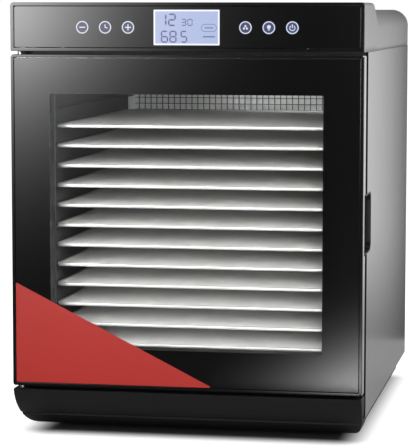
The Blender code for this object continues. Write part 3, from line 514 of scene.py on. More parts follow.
# Finishes that differ only in their values: a colour (or the name of its setting) and a share of it, the
# metallic value, the roughness range, the sizes in mm of the grain, of the drift and of the grain's
# height, the drift of colour, and then any stretch of the grain and sockets of the shader.
BRUSHED = (0.4, 20, 0.006, 0.06)
FINISHES = {
    # Satin metallic lacquer: flakes a quarter of a millimetre across in a slightly uneven coat.
    "silver_paint": (
        *("silver", 1.0, 0.75, (0.20, 0.28), 0.28, 90, 0.004, 0.025),
        {"Coat_Weight": 0.25, "Coat_Roughness": 0.28},
    ),
    # The same lacquer over plastic: fewer flakes stand level, so it mirrors less at a flat angle.
    "silver_plastic": ("silver", 0.82, 0.45, (0.28, 0.37), 0.28, 90, 0.004, 0.025, {}),
    # The same lacquer 1.75 times brighter on the door's shell: a painted highlight.
    "silver_door": ("silver", 1.75, 0.80, (0.22, 0.30), 0.28, 90, 0.003, 0.025, {}),
    # Polished black moulding with the faint orange peel of its tool.
    "gloss_black": ("gloss", 1.0, 0.0, (0.13, 0.17), 4, 50, 0.0025, 0.1, {}),
    # Glass over black print: as smooth as float glass, with a soft haze from its coating.
    "panel_glass": ("gloss", 1.0, 0.0, (0.11, 0.14), 12, 80, 0.0015, 0.06, {"IOR": 1.52}),
    # Black moulding with a spark-eroded grain.
    "satin_black": ("satin", 1.0, 0.0, (0.38, 0.50), 0.7, 60, 0.03, 0.12, {"Specular_IOR_Level": 0.30}),
    # Matt black that mirrors almost nothing: painted shadow of the gap between the door and the side panels.
    "matt_black": (0.003, 1.0, 0.0, (0.85, 0.95), 0.5, 20, 0.04, 0.2, {"Specular_IOR_Level": 0.03}),
    # Powder-coated steel: a fine pebbled coat.
    "black_sheet": ("satin", 1.0, 0.0, (0.42, 0.58), 1.1, 50, 0.06, 0.15, {}),
    # Rolled sheet: streaks drawn out along one axis, in colour, roughness and bump alike.
    "stainless": ("steel", 1.0, 1.0, (0.24, 0.40), *BRUSHED, {"stretch": (1, 0.02, 1)}),
    "aluminium": ((0.66, 0.66, 0.67), 1.0, 1.0, (0.28, 0.42), *BRUSHED, {"stretch": (1, 1, 0.2)}),
    # Steel for the cavity's left wall, near black where the right wall is plain stainless: painted shade.
    "dark_liner": ((0.034, 0.034, 0.037), 1.0, 0.0, (0.42, 0.56), *BRUSHED, {"stretch": (1, 0.03, 1)}),
    # Pale sheet of the perforated back.
    "pale_sheet": ((0.88, 0.88, 0.87), 1.0, 0.0, (0.42, 0.56), *BRUSHED, {"stretch": (1, 1, 0.03)}),
    # Drawn and electropolished wire.
    "bright_wire": ((0.80, 0.79, 0.77), 1.0, 0.60, (0.30, 0.42), 0.9, 30, 0.008, 0.05, {}),
    # Dark coated wire of the guard in front of the cavity's back.
    "back_wire": (0.05, 1.0, 0.3, (0.35, 0.5), 0.9, 30, 0.008, 0.1, {}),
    # Steel sheath browned by heat.
    "heater_sheath": ((0.34, 0.30, 0.26), 1.0, 0.9, (0.35, 0.5), 2, 12, 0.01, 0.25, {}),
    "rubber": (0.018, 1.0, 0.0, (0.70, 0.85), 0.8, 20, 0.05, 0.2, {}),
    # Dark silicone with a soft sheen.
    "silicone": ((0.020, 0.020, 0.021), 1.0, 0.0, (0.48, 0.60), 1.2, 30, 0.02, 0.1, {"Sheen_Weight": 0.15}),
    "magnet_tape": ((0.045, 0.043, 0.040), 1.0, 0.1, (0.55, 0.7), 0.6, 10, 0.03, 0.2, {}),
}
# Lit surfaces: the colours at the left and right, and how far from the middle they lie.
GLOWS = {
    "display_border": ((0.92, 0.95, 1.0), (0.86, 0.92, 1.0), 0.04),
    "display_segments": ((0.07, 0.07, 0.25), (0.09, 0.09, 0.29), 0.04),
    "icon_light": ((0.74, 0.73, 0.88), (0.62, 0.70, 0.95), 0.13),
    "icon_shade": ((0.025, 0.025, 0.08), (0.008, 0.014, 0.07), 0.13),
}
OTHERS = {
    "window_glass": window_glass,
    "zinc": zinc,
    "circuit_board": circuit_board,
    "corner_film": corner_film,
}
_made = {}


def new_finish(name):
    """Makes the material of that name."""
    colours = bpy.context.scene.dehydrator_colours
    if name in OTHERS:
        return OTHERS[name]()
    label = name.replace("_", " ")
    if name in GLOWS:
        return glowing(label, *GLOWS[name])
    if name == "display_field":
        return glowing(label, tuple(colours.display_high), tuple(colours.display_low), 0.04)
    tone, share, *values, more = FINISHES[name]
    if isinstance(tone, str):
        tone = getattr(colours, tone)
    elif isinstance(tone, float):
        tone = (tone, tone, tone)
    return finish(label, toned(tone, share), *values, **more)[0]


def material(name):
    """The material of that name, made the first time that it is asked for."""
    if name not in _made:
        _made[name] = new_finish(name)
    return _made[name]


# ---------------------------------------------------------------- settings


def length(name, value, about, low=0.0):
    return bpy.props.FloatProperty(
        name=name, description=about, default=value, min=low, precision=5, unit="LENGTH", subtype="DISTANCE"
    )


def colour(name, value, about):
    return bpy.props.FloatVectorProperty(
        name=name, description=about, default=value, size=3, min=0.0, max=1.0, subtype="COLOR"
    )


class DehydratorSizes(bpy.types.PropertyGroup):
    """Sizes of the fine surfaces, which the frame doesn't hold."""

    rim_edge: length("Rim edge", 0.0004, "Rounding of the black rims' front edges")
    rim_corner: length("Rim corner", 0.0030, "Corner radius of the black rims in front view")
    head_corner: length("Head corner", 0.0040, "Radius of the raised head's top corners")
    roof_radius: length("Roof radius", 0.0220, "Radius of the roof's two long edges")
    roof_step: length("Roof step", 0.0085, "Height of the raised head above the roof")
    head_roof: length("Head roof", 0.1050, "Depth at which the raised head starts to slope down")
    head_foot: length("Head foot", 0.1500, "Depth at which the slope has come down to its foot")
    head_slope: length("Head slope", 0.0240, "Drop of the slope's foot")
    wall: length("Wall", 0.0025, "Wall of the mouldings")
    notch_radius: length("Notch radius", 0.0090, "Radius of the finger pocket's rear corners")
    chin_sweep: length("Chin sweep", 0.0700, "How far the base's face curves back underneath")
    corner_sweep: length("Corner sweep", 0.0220, "How far the base's ends curve in underneath")
    tray_wire: length("Tray wire", 0.0006, "Radius of the wires of the trays' mesh")
    tray_pitch: length("Tray pitch", 0.0037, "Pitch of the trays' mesh")
    grid_pitch: length("Grid pitch", 0.0082, "Pitch of the slits and guard wires at the back of the cavity")
    slit: length("Slit", 0.0014, "Width of those slits")


class DehydratorColours(bpy.types.PropertyGroup):
    """Colours of the finishes."""

    silver: colour("Silver", (0.42, 0.42, 0.43), "Lacquer of the housing")
    gloss: colour("Gloss black", (0.0028, 0.0028, 0.0030), "Rims and printed glass")
    satin: colour("Satin black", (0.0055, 0.0055, 0.0058), "Base, frame and back")
    steel: colour("Steel", (0.60, 0.60, 0.60), "Stainless sheet")
    patch_low: colour("Patch, low", (0.34, 0.021, 0.016), "Corner film at its lower edge")
    patch_high: colour("Patch, high", (0.36, 0.030, 0.025), "Corner film at its upper corner")
    display_low: colour("Display, right", (0.38, 0.46, 0.72), "Lit field of the display, right side")
    display_high: colour("Display, left", (0.43, 0.48, 0.71), "Lit field of the display, left side")


def power(name, value, about):
    return bpy.props.FloatProperty(name=name, description=about, default=value, min=0.0, unit="POWER")


def strength(name, value, about):
    return bpy.props.FloatProperty(name=name, description=about, default=value, min=0.0, subtype="FACTOR")


class DehydratorStage(bpy.types.PropertyGroup):
    """Camera and lamps."""

    lens: bpy.props.FloatProperty(
        name="Lens", description="Focal length", default=172.6, min=10.0, unit="CAMERA"
    )
    front: power("Front", 60.0, "Lamp near the camera, which reaches into the cavity")
    side: power("Side", 6.0, "Lamp beside the right panel")
    top: power("Top", 14.0, "Lamp overhead")
    cavity: power("Cavity", 1.0, "Strip lamp under the cavity's ceiling")
    key: strength("Key card", 12.4, "Card ahead on the left, which the front mirrors at its upper left")
    low: strength("Low card", 9.6, "Card on the floor ahead, which the door mirrors at its lower right")
    world: strength("World", 0.42, "Even light of the room")


def sizes():
    return bpy.context.scene.dehydrator_sizes


# ---------------------------------------------------------------- head and housing


def ring_between(outer, inner, start, end, edge):
    """A flat ring between two loops of equal length, with softened front edges."""
    small = edge * 0.3
    rows = [
        (outer, end),
        (outer, start + edge),
        (inset_loop(outer, small), start + small),
        (inset_loop(outer, edge), start),
        (inset_loop(inner, -small), start),
        (inner, start + small),
        (inner, end),
    ]
    return skin([upright(loop, y) for loop, y in rows], ring=True)


def inset_loop(loop, amount):
    """A loop drawn in towards its middle by the same amount on every side."""
    middle = (loop.min(0) + loop.max(0)) / 2
    half = (loop.max(0) - loop.min(0)) / 2
    return middle + (loop - middle) * (1 - amount / half)


def digit_segments(text, left, right, low, high, thick):
    """Bars of a segment display for each digit, as flat six-sided outlines."""
    shown = {
        "0": "abcdef", "1": "bc", "2": "abged", "3": "abgcd", "4": "fgbc",
        "5": "afgcd", "6": "afgedc", "7": "abc", "8": "abcdefg", "9": "abcdfg",
    }
    cell = (right - left) / len(text)
    width = cell * 0.68
    outlines = []
    for index, character in enumerate(text):
        u, middle = left + cell * index + cell * 0.16, (low + high) / 2
        ends = {
            "a": ((u, high), (u + width, high)),
            "g": ((u, middle), (u + width, middle)),
            "d": ((u, low), (u + width, low)),
            "f": ((u, middle), (u, high)),
            "e": ((u, low), (u, middle)),
            "b": ((u + width, middle), (u + width, high)),
            "c": ((u + width, low), (u + width, middle)),
        }
        for bar in shown[character]:
            start, end = np.array(ends[bar][0]), np.array(ends[bar][1])
            along = (end - start) / np.linalg.norm(end - start)
            across = np.array((-along[1], along[0])) * thick / 2
            start, end = start + along * thick * 0.16, end - along * thick * 0.16
            nib = along * thick / 2
            near, far = start + nib, end - nib
            outlines.append(np.array([start, near - across, far - across, end, far + across, near + across]))
    return outlines


def raised(outline, start, thick):
    """A thin flat shape that stands out from a front face at Y = start."""
    return prism(outline, upright, start, start - thick)


def ring_outline(outer, inner, start, thick):
    """A thin flat ring between two loops of equal length."""
    rows = ((outer, start), (outer, start - thick), (inner, start - thick), (inner, start))
    return skin([upright(loop, y) for loop, y in rows], ring=True)


def circle_loop(u, v, radius, sides=48):
    angle = np.linspace(0, 2 * math.pi, sides, endpoint=False)
    return np.stack([u + radius * np.cos(angle), v + radius * np.sin(angle)], -1)


def bar_loop(u, v, length, thick, turn=0.0):
    """A rectangle about a middle, turned by an angle."""
    half = np.array([(-length, -thick), (length, -thick), (length, thick), (-length, thick)]) / 2
    c, s = math.cos(turn), math.sin(turn)
    return half @ np.array([(c, s), (-s, c)]) + (u, v)


SIGNS = {
    # Bars as (u, v, length, thickness, turn) and dots as (u, v, radius, sides), in mm.
    "minus": ([(0, 0, 7, 1.3, 0)], []),
    "clock": ([(0, 1.6, 1.1, 3.4, 0), (1.3, -0.4, 3.2, 1.1, -0.3)], []),
    "plus": ([(0, 0, 7, 1.3, 0), (0, 2.1, 1.3, 2.8, 0), (0, -2.1, 1.3, 2.8, 0)], []),
    "drops": ([], [(-1.7, -1.0, 1.3, 20), (1.7, -1.0, 1.3, 20), (0, 1.7, 1.3, 20)]),
    "lamp": ([(0, -2.5, 2.6, 1.1, 0)], [(0, 0.8, 2.3, 24)]),
    "power": ([(0, 1.8, 1.2, 4.0, 0)], []),
}


def symbol(kind, u, v):
    """The generic sign inside a touch key, as thin flat outlines."""
    bars, dots = SIGNS[kind]
    shapes = [circle_loop(u + x * MM, v + z * MM, radius * MM, sides) for x, z, radius, sides in dots]
    return shapes + [bar_loop(u + x * MM, v + z * MM, a * MM, b * MM, turn) for x, z, a, b, turn in bars]


def roof_drops(x, depth, size):
    """Drop of the top surface: the roof's rounded slab and the raised head, whichever is higher.

    Each has quarter-circle long edges. The head's crown is level to the start of its slope, then
    falls in a straight line. A smooth minimum of the two drops rounds the line where they meet.
    """
    reach = np.abs(x)

    def rounding(radius):
        over = np.clip(reach - (HALF - radius), 0, radius)
        return radius - np.sqrt(radius**2 - over**2)

    slope = (depth - size.head_roof) / (size.head_foot - size.head_roof)
    bend = 0.06
    ramp = 0.5 * (slope + np.sqrt(slope**2 + bend**2))
    head = size.head_slope * ramp + rounding(size.head_corner)
    roof = size.roof_step + rounding(size.roof_radius)
    blend = 0.0007
    return 0.5 * (head + roof - np.sqrt((head - roof) ** 2 + blend**2)) + blend * 0.15


def make_housing(size):
    """The top housing: a height field over width and depth, with straight walls below its long edges."""
    low, high = corners_of("top_housing")
    start, end = low[1] - FRONT, high[1] - FRONT
    foot = TOP - low[2]
    edge, rear_radius = 0.0012, 0.0030
    turn = np.linspace(0, math.pi / 2, 22)
    side = HALF - size.roof_radius + size.roof_radius * np.sin(turn)
    flat = np.linspace(-side[0], side[0], 22)[1:-1]
    across = np.concatenate([-side[::-1], flat, side])
    quarter = np.linspace(0, math.pi / 2, 5)
    front_depths = start + edge * (1 - np.cos(quarter))
    front_insets = edge * (1 - np.sin(quarter)) * 0.5
    middle = np.concatenate([
        np.linspace(start + edge, size.head_roof - 0.012, 9)[1:],
        np.linspace(size.head_roof - 0.012, size.head_foot + 0.008, 34)[1:],
        np.linspace(size.head_foot + 0.008, end - rear_radius, 14)[1:],
    ])
    rear_depths = end - rear_radius + rear_radius * np.sin(quarter[1:])
    rear_insets = rear_radius * (1 - np.cos(quarter[1:]))
    depths = np.concatenate([front_depths, middle, rear_depths])
    insets = np.concatenate([front_insets, np.zeros(len(middle)), rear_insets])
    lean = 0.00045 * np.clip(1 - (depths - start) / 0.010, 0, 1)
    drops = roof_drops(across[None], depths[:, None], size) + insets[:, None]
    narrow = 1 - (insets + lean) / HALF
    tops = np.stack(
        [across[None] * narrow[:, None], np.broadcast_to(back(depths)[:, None], drops.shape), down(drops)], -1
    )
    share = np.linspace(0, 1, 7)[:-1][None, :, None]
    feet = tops[:, [0, -1]]
    feet[..., 2] = down(foot)
    left = feet[:, :1] * (1 - share) + tops[:, :1] * share
    right = (feet[:, 1:] * (1 - share) + tops[:, -1:] * share)[:, ::-1]
    field = np.concatenate([left, tops, right], 1)
    rows, columns = field.shape[:2]
    faces = grid_faces(rows, columns)
    faces.append(list(range((rows - 1) * columns, rows * columns)))
    shell = (field.reshape(-1, 3), faces)
    obj = piece("top_housing_shell", shell, "silver_plastic", "root", "top_housing", sharp=60)
    wall = obj.modifiers.new("wall", "SOLIDIFY")
    wall.thickness = size.wall
    wall.offset = -1
    wall.use_even_offset = True
    return obj


class DEHYDRATOR_OT_head(bpy.types.Operator):
    """Builds the control panel, its display and keys, and the housing behind it"""

    bl_idname = "dehydrator.head"
    bl_label = "Head and housing"

    def execute(self, context):
        size = sizes()
        low, high = corners_of("head_bezel")
        rim = corners_of("head_bezel")
        rim[1][1] = back(0.006)
        inner_low = corners_of("control_glass")[0]
        width = inner_low[0] - low[0] - 0.0003
        rows = frame_rows(width, low[1], rim[1][1], size.rim_edge)
        ring = upright_stack(low, rim[1], 0.0015, rows, size.head_corner, ring=True)
        shelf = block((-0.2062, back(0.004), low[2]), (0.2062, high[1], low[2] + 0.0025))
        piece("head_rim", [ring, shelf], "gloss_black", "root", "head_bezel")
        glass = slab("control_glass", 0.0012, 0.0004, 0.0024)
        piece("control_panel", glass, "panel_glass", "root", "control_glass")
        self.make_display(inner_low[1])
        self.make_keys(inner_low[1])
        make_housing(size)
        dress("satin_black", "lcd_module")
        dress("circuit_board", "touch_board", "control_board", "power_board")
        return {"FINISHED"}

    def make_display(self, face):
        """The lit field, its pale border and generic digits, in shares of the display's box."""
        low, high = corners_of("lcd_module")
        low[0] += 0.0031
        high[0] += 0.0009
        wide, tall, centre = high[0] - low[0], high[2] - low[2], (low[0] + high[0]) / 2

        def spot(u, v):
            return low[0] + wide * u, high[2] - tall * v

        outer = rounded_loop(wide / 2, low[2], high[2], 0.0008, middle=centre)
        inner = rounded_loop(wide / 2 - 0.0019, low[2] + 0.0019, high[2] - 0.0019, 0.0005, middle=centre)
        border = ring_outline(outer, inner, face, 0.00022)
        piece("display_border", border, "display_border")
        piece("display_field", raised(inner, face, 0.00012), "display_field")
        signs = []
        for text, (u0, u1), (v0, v1), thick in (
            ("12", (0.065, 0.35), (0.13, 0.44), 0.0018),
            ("30", (0.41, 0.60), (0.27, 0.44), 0.0011),
            ("68", (0.10, 0.36), (0.61, 0.91), 0.0016),
            ("5", (0.40, 0.52), (0.61, 0.91), 0.0016),
        ):
            (left, high_z), (right, low_z) = spot(u0, v0), spot(u1, v1)
            signs += digit_segments(text, left, right, low_z, high_z, thick)
        ink = (face - 0.00012, 0.00008)
        shapes = [raised(outline, *ink) for outline in signs]
        (left, top), (right, bottom) = spot(0.72, 0.40), spot(0.957, 0.62)
        middle, half, radius = (left + right) / 2, (right - left) / 2, (top - bottom) / 2 - 0.0001
        pill = rounded_loop(half, bottom, top, radius, middle=middle)
        line = 0.0006
        pill_inner = rounded_loop(half - line, bottom + line, top - line, radius - line, middle=middle)
        shapes.append(ring_outline(pill, pill_inner, *ink))
        shapes.append(raised(bar_loop(*spot(0.84, 0.51), 0.010, 0.0012), *ink))
        shapes.append(raised(bar_loop(*spot(0.84, 0.76), 0.014, 0.0014), *ink))
        piece("display_digits", shapes, "display_segments")

    def make_keys(self, face):
        """Six round touch keys: a thin ring, a dim field and a generic sign."""
        rings, fields, signs = [], [], []
        height = down(0.029)
        middles = (-0.1222, -0.0948, -0.0674, 0.0712, 0.0985, 0.1258)
        for u, kind in zip(middles, SIGNS):
            outer, inner = circle_loop(u, height, 0.0073), circle_loop(u, height, 0.0061)
            rings.append(ring_outline(outer, inner, face, 0.0002))
            fields.append(raised(inner, face, 0.0001))
            signs += [raised(outline, face - 0.0001, 0.0001) for outline in symbol(kind, u, height)]
            if kind == "power":
                arc = np.linspace(math.radians(130), math.radians(410), 28)
                spoke = np.stack([np.cos(arc), np.sin(arc)], -1)
                wide = np.concatenate([0.0035 * spoke, 0.0025 * spoke[::-1]]) + (u, height - 0.0003)
                signs.append(raised(wide, face - 0.0001, 0.0001))
        piece("key_rings", rings, "icon_light")
        piece("key_fields", fields, "icon_shade")
        piece("key_signs", signs, "icon_light")


# ---------------------------------------------------------------- door


def arc_corner(points, radius, steps=6):
    """A polygon with each corner replaced by an arc that touches both its sides."""
    points = np.asarray(points, float)
    before, after = np.roll(points, 1, 0), np.roll(points, -1, 0)
    first = (before - points) / np.linalg.norm(before - points, axis=1)[:, None]
    second = (after - points) / np.linalg.norm(after - points, axis=1)[:, None]
    half_angle = np.arccos(np.clip((first * second).sum(1), -1, 1)) / 2
    radius = np.broadcast_to(np.asarray(radius, float), half_angle.shape)
    run = radius / np.tan(half_angle)
    bisector = first + second
    bisector /= np.linalg.norm(bisector, axis=1)[:, None]
    centre = points + bisector * (radius / np.sin(half_angle))[:, None]
    start = points + first * run[:, None] - centre
    end = points + second * run[:, None] - centre
    angle_a, angle_b = np.arctan2(start[:, 1], start[:, 0]), np.arctan2(end[:, 1], end[:, 0])
    sweep = (angle_b - angle_a + math.pi) % (2 * math.pi) - math.pi
    angle = angle_a[:, None] + sweep[:, None] * np.linspace(0, 1, steps)
    arcs = centre[:, None] + radius[:, None, None] * np.stack([np.cos(angle), np.sin(angle)], -1)
    return arcs.reshape(-1, 2)


def screw_head(centre, axis, radius, height):
    """A domed screw head with a shallow round recess, turned about its axis."""
    shares = [(1, 0), (1, 0.45), (0.82, 0.85), (0.45, 1), (0.36, 1), (0.30, 0.45), (0.00002 / radius, 0.45)]
    return turned(np.array(shares) * (radius, height), np.asarray(centre, float), axis, sides=24)


class DEHYDRATOR_OT_door(bpy.types.Operator):
    """Builds the door: its rim, printed glass with a clear window, corner film, shell, lining and seal"""

    bl_idname = "dehydrator.door"
    bl_label = "Door"

    def execute(self, context):
        size = sizes()
        low, high = corners_of("door_bezel")
        glass_low, glass_high = corners_of("door_glass")
        width = glass_low[0] - low[0] - 0.0003
        rows = frame_rows(width, low[1], high[1], size.rim_edge)
        rim = upright_stack(low, high, size.rim_corner, rows, ring=True)
        piece("door_rim", rim, "gloss_black", "door", "door_bezel")
        outer = rounded_loop(glass_high[0], glass_low[2], glass_high[2], 0.0010)
        half, top, bottom = 0.163, down(0.106), down(0.409)
        inner = rounded_loop(half, bottom, top, 0.0020)
        border = ring_between(outer, inner, glass_low[1], glass_high[1], 0.0004)
        piece("door_glass_border", border, "panel_glass", "door", "door_glass")
        pane_box = [np.array((-half, glass_low[1] + 0.00002, bottom)), np.array((half, glass_high[1], top))]
        shrink = 0.00005
        pane_box[0] += (shrink, 0, shrink)
        pane_box[1] -= (shrink, 0, shrink)
        pane = upright_stack(*pane_box, 0.0020, [(0.0, pane_box[0][1]), (0.0, pane_box[1][1])])
        piece("door_window", pane, "window_glass", "door", "door_glass")
        lip_outer = rounded_loop(half + 0.0004, bottom - 0.0004, top + 0.0004, 0.0024)
        lip_inner = rounded_loop(half - 0.0009, bottom + 0.0009, top - 0.0009, 0.0012)
        print_lip = ring_outline(lip_outer, lip_inner, glass_low[1], 0.00008)
        piece("door_window_print", print_lip, "panel_glass", "door")
        corner = np.array((glass_low[0], glass_low[2]))
        leg = np.array([(0.0, 0.0), (0.238, 0.0), (0.0, 0.1195)])
        film = arc_corner(corner + leg + 0.0003, (0.0012, 0.0010, 0.0010))
        piece("door_corner_film", raised(film, glass_low[1], 0.00015), "corner_film", "door")
        # painted highlight: the door's shell takes the lacquer 1.75 times brighter than the side panels
        self.line_reveal(softened("door_frame", "silver_door", 0.0008))
        softened("door_inner_frame", "satin_black", 0.0005)
        softened("door_gasket", "silicone", 0.0008)
        inner_low, inner_high = corners_of("door_inner_frame")
        places = [
            (x, z)
            for z in (inner_low[2] + 0.008, (inner_low[2] + inner_high[2]) / 2, inner_high[2] - 0.008)
            for x in (inner_low[0] + 0.012, 0.0, inner_high[0] - 0.022)
            if x or z < inner_low[2] + 0.02 or z > inner_high[2] - 0.02
        ]
        screws = [screw_head((x, inner_high[1], z), (0, 1, 0), 0.0032, 0.0014) for x, z in places]
        piece("door_screws", screws, "zinc", "door")
        dress("satin_black", "door_bush_upper", "door_bush_lower")
        dress("magnet_tape", "door_magnet")
        return {"FINISHED"}

    def line_reveal(self, shell):
        """Blackens the shell's faces whose centres lie inside its outer walls, round the window."""
        mesh = shell.data
        mesh.materials.append(material("satin_black"))
        low, high = corners_of("door_frame")
        centres, normals = np.empty((2, len(mesh.polygons) * 3))
        mesh.polygons.foreach_get("center", centres)
        mesh.polygons.foreach_get("normal", normals)
        offset = np.abs(centres.reshape(-1, 3) - (low + high) / 2)
        within = (offset < (high - low) / 2 - 0.006)[:, [0, 2]].all(1)
        across = np.abs(normals.reshape(-1, 3)[:, 1]) < 0.5
        mesh.polygons.foreach_set("material_index", (within & across).astype(np.int32))


# ---------------------------------------------------------------- body


def side_outline(notched, size):
    """The panel's outline in depth and height; the right one has the finger pocket's round-cornered notch."""
    low, high = corners_of("right_side_panel")
    y0, y1, z0, z1 = low[1], high[1], low[2], high[2]
    outer = [(y0, z0), (y1, z0), (y1, z1), (y0, z1)]
    radii = [0.0008, 0.0008, 0.0008, 0.0008]
    if notched:
        top, bottom, reach = down(0.2225), down(0.2935), back(0.086)
        outer += [(y0, top), (reach, top), (reach, bottom), (y0, bottom)]
        radii += [0.0006, size.notch_radius, size.notch_radius, 0.0006]
    return arc_corner(outer, radii, 8)


def make_side(sign, size):
    """One side panel: a flat face, and flanges folded inwards along its rear and bottom."""
    node = "right_side_panel" if sign > 0 else "left_side_panel"
    low, high = corners_of(node)
    outer = HALF * sign
    inner = outer - 0.0015 * sign
    shapes = [prism(side_outline(sign > 0, size), sideways, outer, inner)]
    reach = high[0] - low[0]
    near, far = sorted((inner, outer - reach * sign))
    shapes.append(block((near, low[1], low[2]), (far, high[1], low[2] + 0.0015)))
    shapes.append(block((near, high[1] - 0.0015, low[2] + 0.0016), (far, high[1], high[2])))
    piece(node + "_sheet", shapes, "silver_paint", "root", node, 0.0005)


def make_pocket(size):
    """The finger pocket: an open-fronted cup whose rear corners are round, with a thin wall."""
    low, high = corners_of("finger_pocket")
    wall, radius = 0.0020, size.notch_radius
    y0, y1, z0, z1 = low[1], high[1], low[2], high[2]
    round_rear = (0.0004, radius + wall, radius + wall, 0.0004)
    cup = prism(arc_corner([(y0, z0), (y1, z0), (y1, z1), (y0, z1)], round_rear), sideways, low[0], high[0])
    obj = piece("finger_pocket_cup", cup, "satin_black", "root", "finger_pocket")
    y0, y1, z0, z1 = y0 - 0.003, y1 - wall, z0 + wall, z1 - wall
    inner = arc_corner([(y0, z0), (y1, z0), (y1, z1), (y0, z1)], (0.0004, radius, radius, 0.0004))
    hollow = prism(inner, sideways, low[0] + wall, high[0] + 0.003)
    carved(obj, [hollow])
    obj.data.shade_smooth()
    obj.data.set_sharp_from_angle(angle=math.radians(35))


class DEHYDRATOR_OT_body(bpy.types.Operator):
    """Builds the front frame, side panels, finger pocket and hinges"""

    bl_idname = "dehydrator.body"
    bl_label = "Body"

    def execute(self, context):
        size = sizes()
        softened("front_frame", "satin_black", 0.0006)
        self.make_trim()
        make_side(1, size)
        make_side(-1, size)
        make_pocket(size)
        for node in ("hinge_upper", "hinge_lower"):
            softened(node, "zinc", 0.0004)
        dress("zinc", "catch_plate")
        return {"FINISHED"}

    def make_trim(self):
        """Matt black strips on the front frame's sides, over the panels' front edges: painted shadow of the
        gap between the door and the side panels.
        """
        low, high = corners_of("front_frame")
        y0, y1 = back(0.0302), back(0.0439)
        near, far = high[0] - 0.0004, HALF - 0.0002
        pocket_low, pocket_high = corners_of("finger_pocket")
        shapes = [
            block((near, y0, low[2]), (far, y1, pocket_low[2] - 0.0004)),
            block((near, y0, pocket_high[2] + 0.0004), (far, y1, high[2])),
            block((-far, y0, low[2]), (-near, y1, high[2])),
        ]
        # painted shadow: matt black strips where the gap beside the door lies in shade
        piece("front_frame_trim", shapes, "matt_black")


# ---------------------------------------------------------------- cavity and trays


def make_tray(node, size):
    """One tray: a rolled rim, crossed round wires in two layers, and stiffer wires beneath."""
    low, high = corners_of(node)
    rim, corner = 0.0045, 0.014
    top, foot = high[2], low[2]
    soft = 0.0011
    turn = np.linspace(0, math.pi / 2, 3)
    rows = [(0.0, foot + soft)]
    rows += [(soft * (1 - math.cos(a)), top - soft * (1 - math.sin(a))) for a in turn]
    rows += [(rim - soft * (1 - math.sin(a)), top - soft * (1 - math.cos(a))) for a in turn]
    rows += [(rim, foot + soft), (rim - soft, foot), (soft, foot)]
    sections = []
    for inset, z in rows:
        half = high[0] - inset
        radius = max(corner - inset, 0.001)
        sections.append(level(rounded_loop(half, low[1] + inset, high[1] - inset, radius, steps=6), z))
    edge = skin(sections, ring=True)
    half, y0, y1 = high[0] - rim * 0.6, low[1] + rim * 0.6, high[1] - rim * 0.6
    xs = np.linspace(-half, half, int(round(2 * half / size.tray_pitch)) + 1)[1:-1]
    ys = np.linspace(y0, y1, int(round((y1 - y0) / size.tray_pitch)) + 1)[1:-1]
    radius = size.tray_wire

    def ends_across(value, reach_low, reach_high, near_corner):
        """How far a wire runs before it meets the rim, whose corners are round."""
        over = np.clip(value - near_corner, 0, None)
        cut = (corner - rim * 0.6) - np.sqrt(np.clip((corner - rim * 0.6) ** 2 - over**2, 0, None))
        return reach_low + cut, reach_high - cut

    z_low, z_high = top - 3.2 * radius, top - 1.5 * radius
    inner_corner = corner - rim * 0.6
    start, end = ends_across(np.abs(xs), y0, y1, half - inner_corner)
    along = wires(spots(xs, start, z_low), spots(xs, end, z_low), radius)
    middle = (y0 + y1) / 2
    start, end = ends_across(np.abs(ys - middle), -half, half, (y1 - y0) / 2 - inner_corner)
    across = wires(spots(start, ys, z_high), spots(end, ys, z_high), radius)
    bars_y = np.linspace(y0, y1, 8)[1:-1]
    z_bar = foot + 0.0012
    bars = wires(spots(-half, bars_y, z_bar), spots(half, bars_y, z_bar), 0.0012, 8)
    piece(node + "_mesh", [edge, along, across, bars], "bright_wire", body_of(node), node)


def make_back_grid(size):
    """The back of the cavity: a sheet with rows of slits, each a face left out of a grid, and a guard of
    crossed wires just ahead of it."""
    low, high = corners_of("rear_grille")
    border = 0.010

    def lines(start, end, pitch, opening):
        count = int((end - start - 2 * border) / pitch)
        first = (start + end) / 2 - count * pitch / 2
        starts = first + np.arange(count) * pitch + (pitch - opening) / 2
        return np.concatenate([[start], np.stack([starts, starts + opening], -1).ravel(), [end]])

    xs = lines(low[0], high[0], size.grid_pitch, size.slit)
    zs = lines(low[2], high[2], size.grid_pitch * 3, size.grid_pitch * 3 - 0.003)
    x, z = np.meshgrid(xs, zs)
    points = spots(x, low[1], z).reshape(-1, 3)
    faces = np.array(grid_faces(len(zs), len(xs))).reshape(len(zs) - 1, len(xs) - 1, 4)
    row, column = np.meshgrid(np.arange(len(zs) - 1), np.arange(len(xs) - 1), indexing="ij")
    kept = faces[~((row % 2 == 1) & (column % 2 == 1))].tolist()
    mesh = bpy.data.meshes.new("cavity_back_sheet")
    mesh.from_pydata(points.tolist(), [], kept)
    obj = bpy.data.objects.new("cavity_back_sheet", mesh)
    placed(obj, "pale_sheet", "root", "rear_grille", 0.0, 35)
    wall = obj.modifiers.new("sheet", "SOLIDIFY")
    wall.thickness = high[1] - low[1]
    wall.offset = 1 if mesh.polygons[0].normal.y > 0 else -1
    radius, y = 0.0005, low[1] - 0.0024
    half, bottom, top = 0.1575, low[2] + 0.003, high[2] - 0.003
    xs = (xs[1:-1:2] + xs[2:-1:2]) / 2
    xs = xs[np.abs(xs) < half]
    zs = np.arange(bottom + size.grid_pitch / 2, top, size.grid_pitch)
    rear = y + 1.9 * radius
    guard = [
        wires(spots(xs, y, bottom), spots(xs, y, top), radius),
        wires(spots(-half, rear, zs), spots(half, rear, zs), radius),
    ]
    piece("cavity_back_guard", guard, "back_wire")


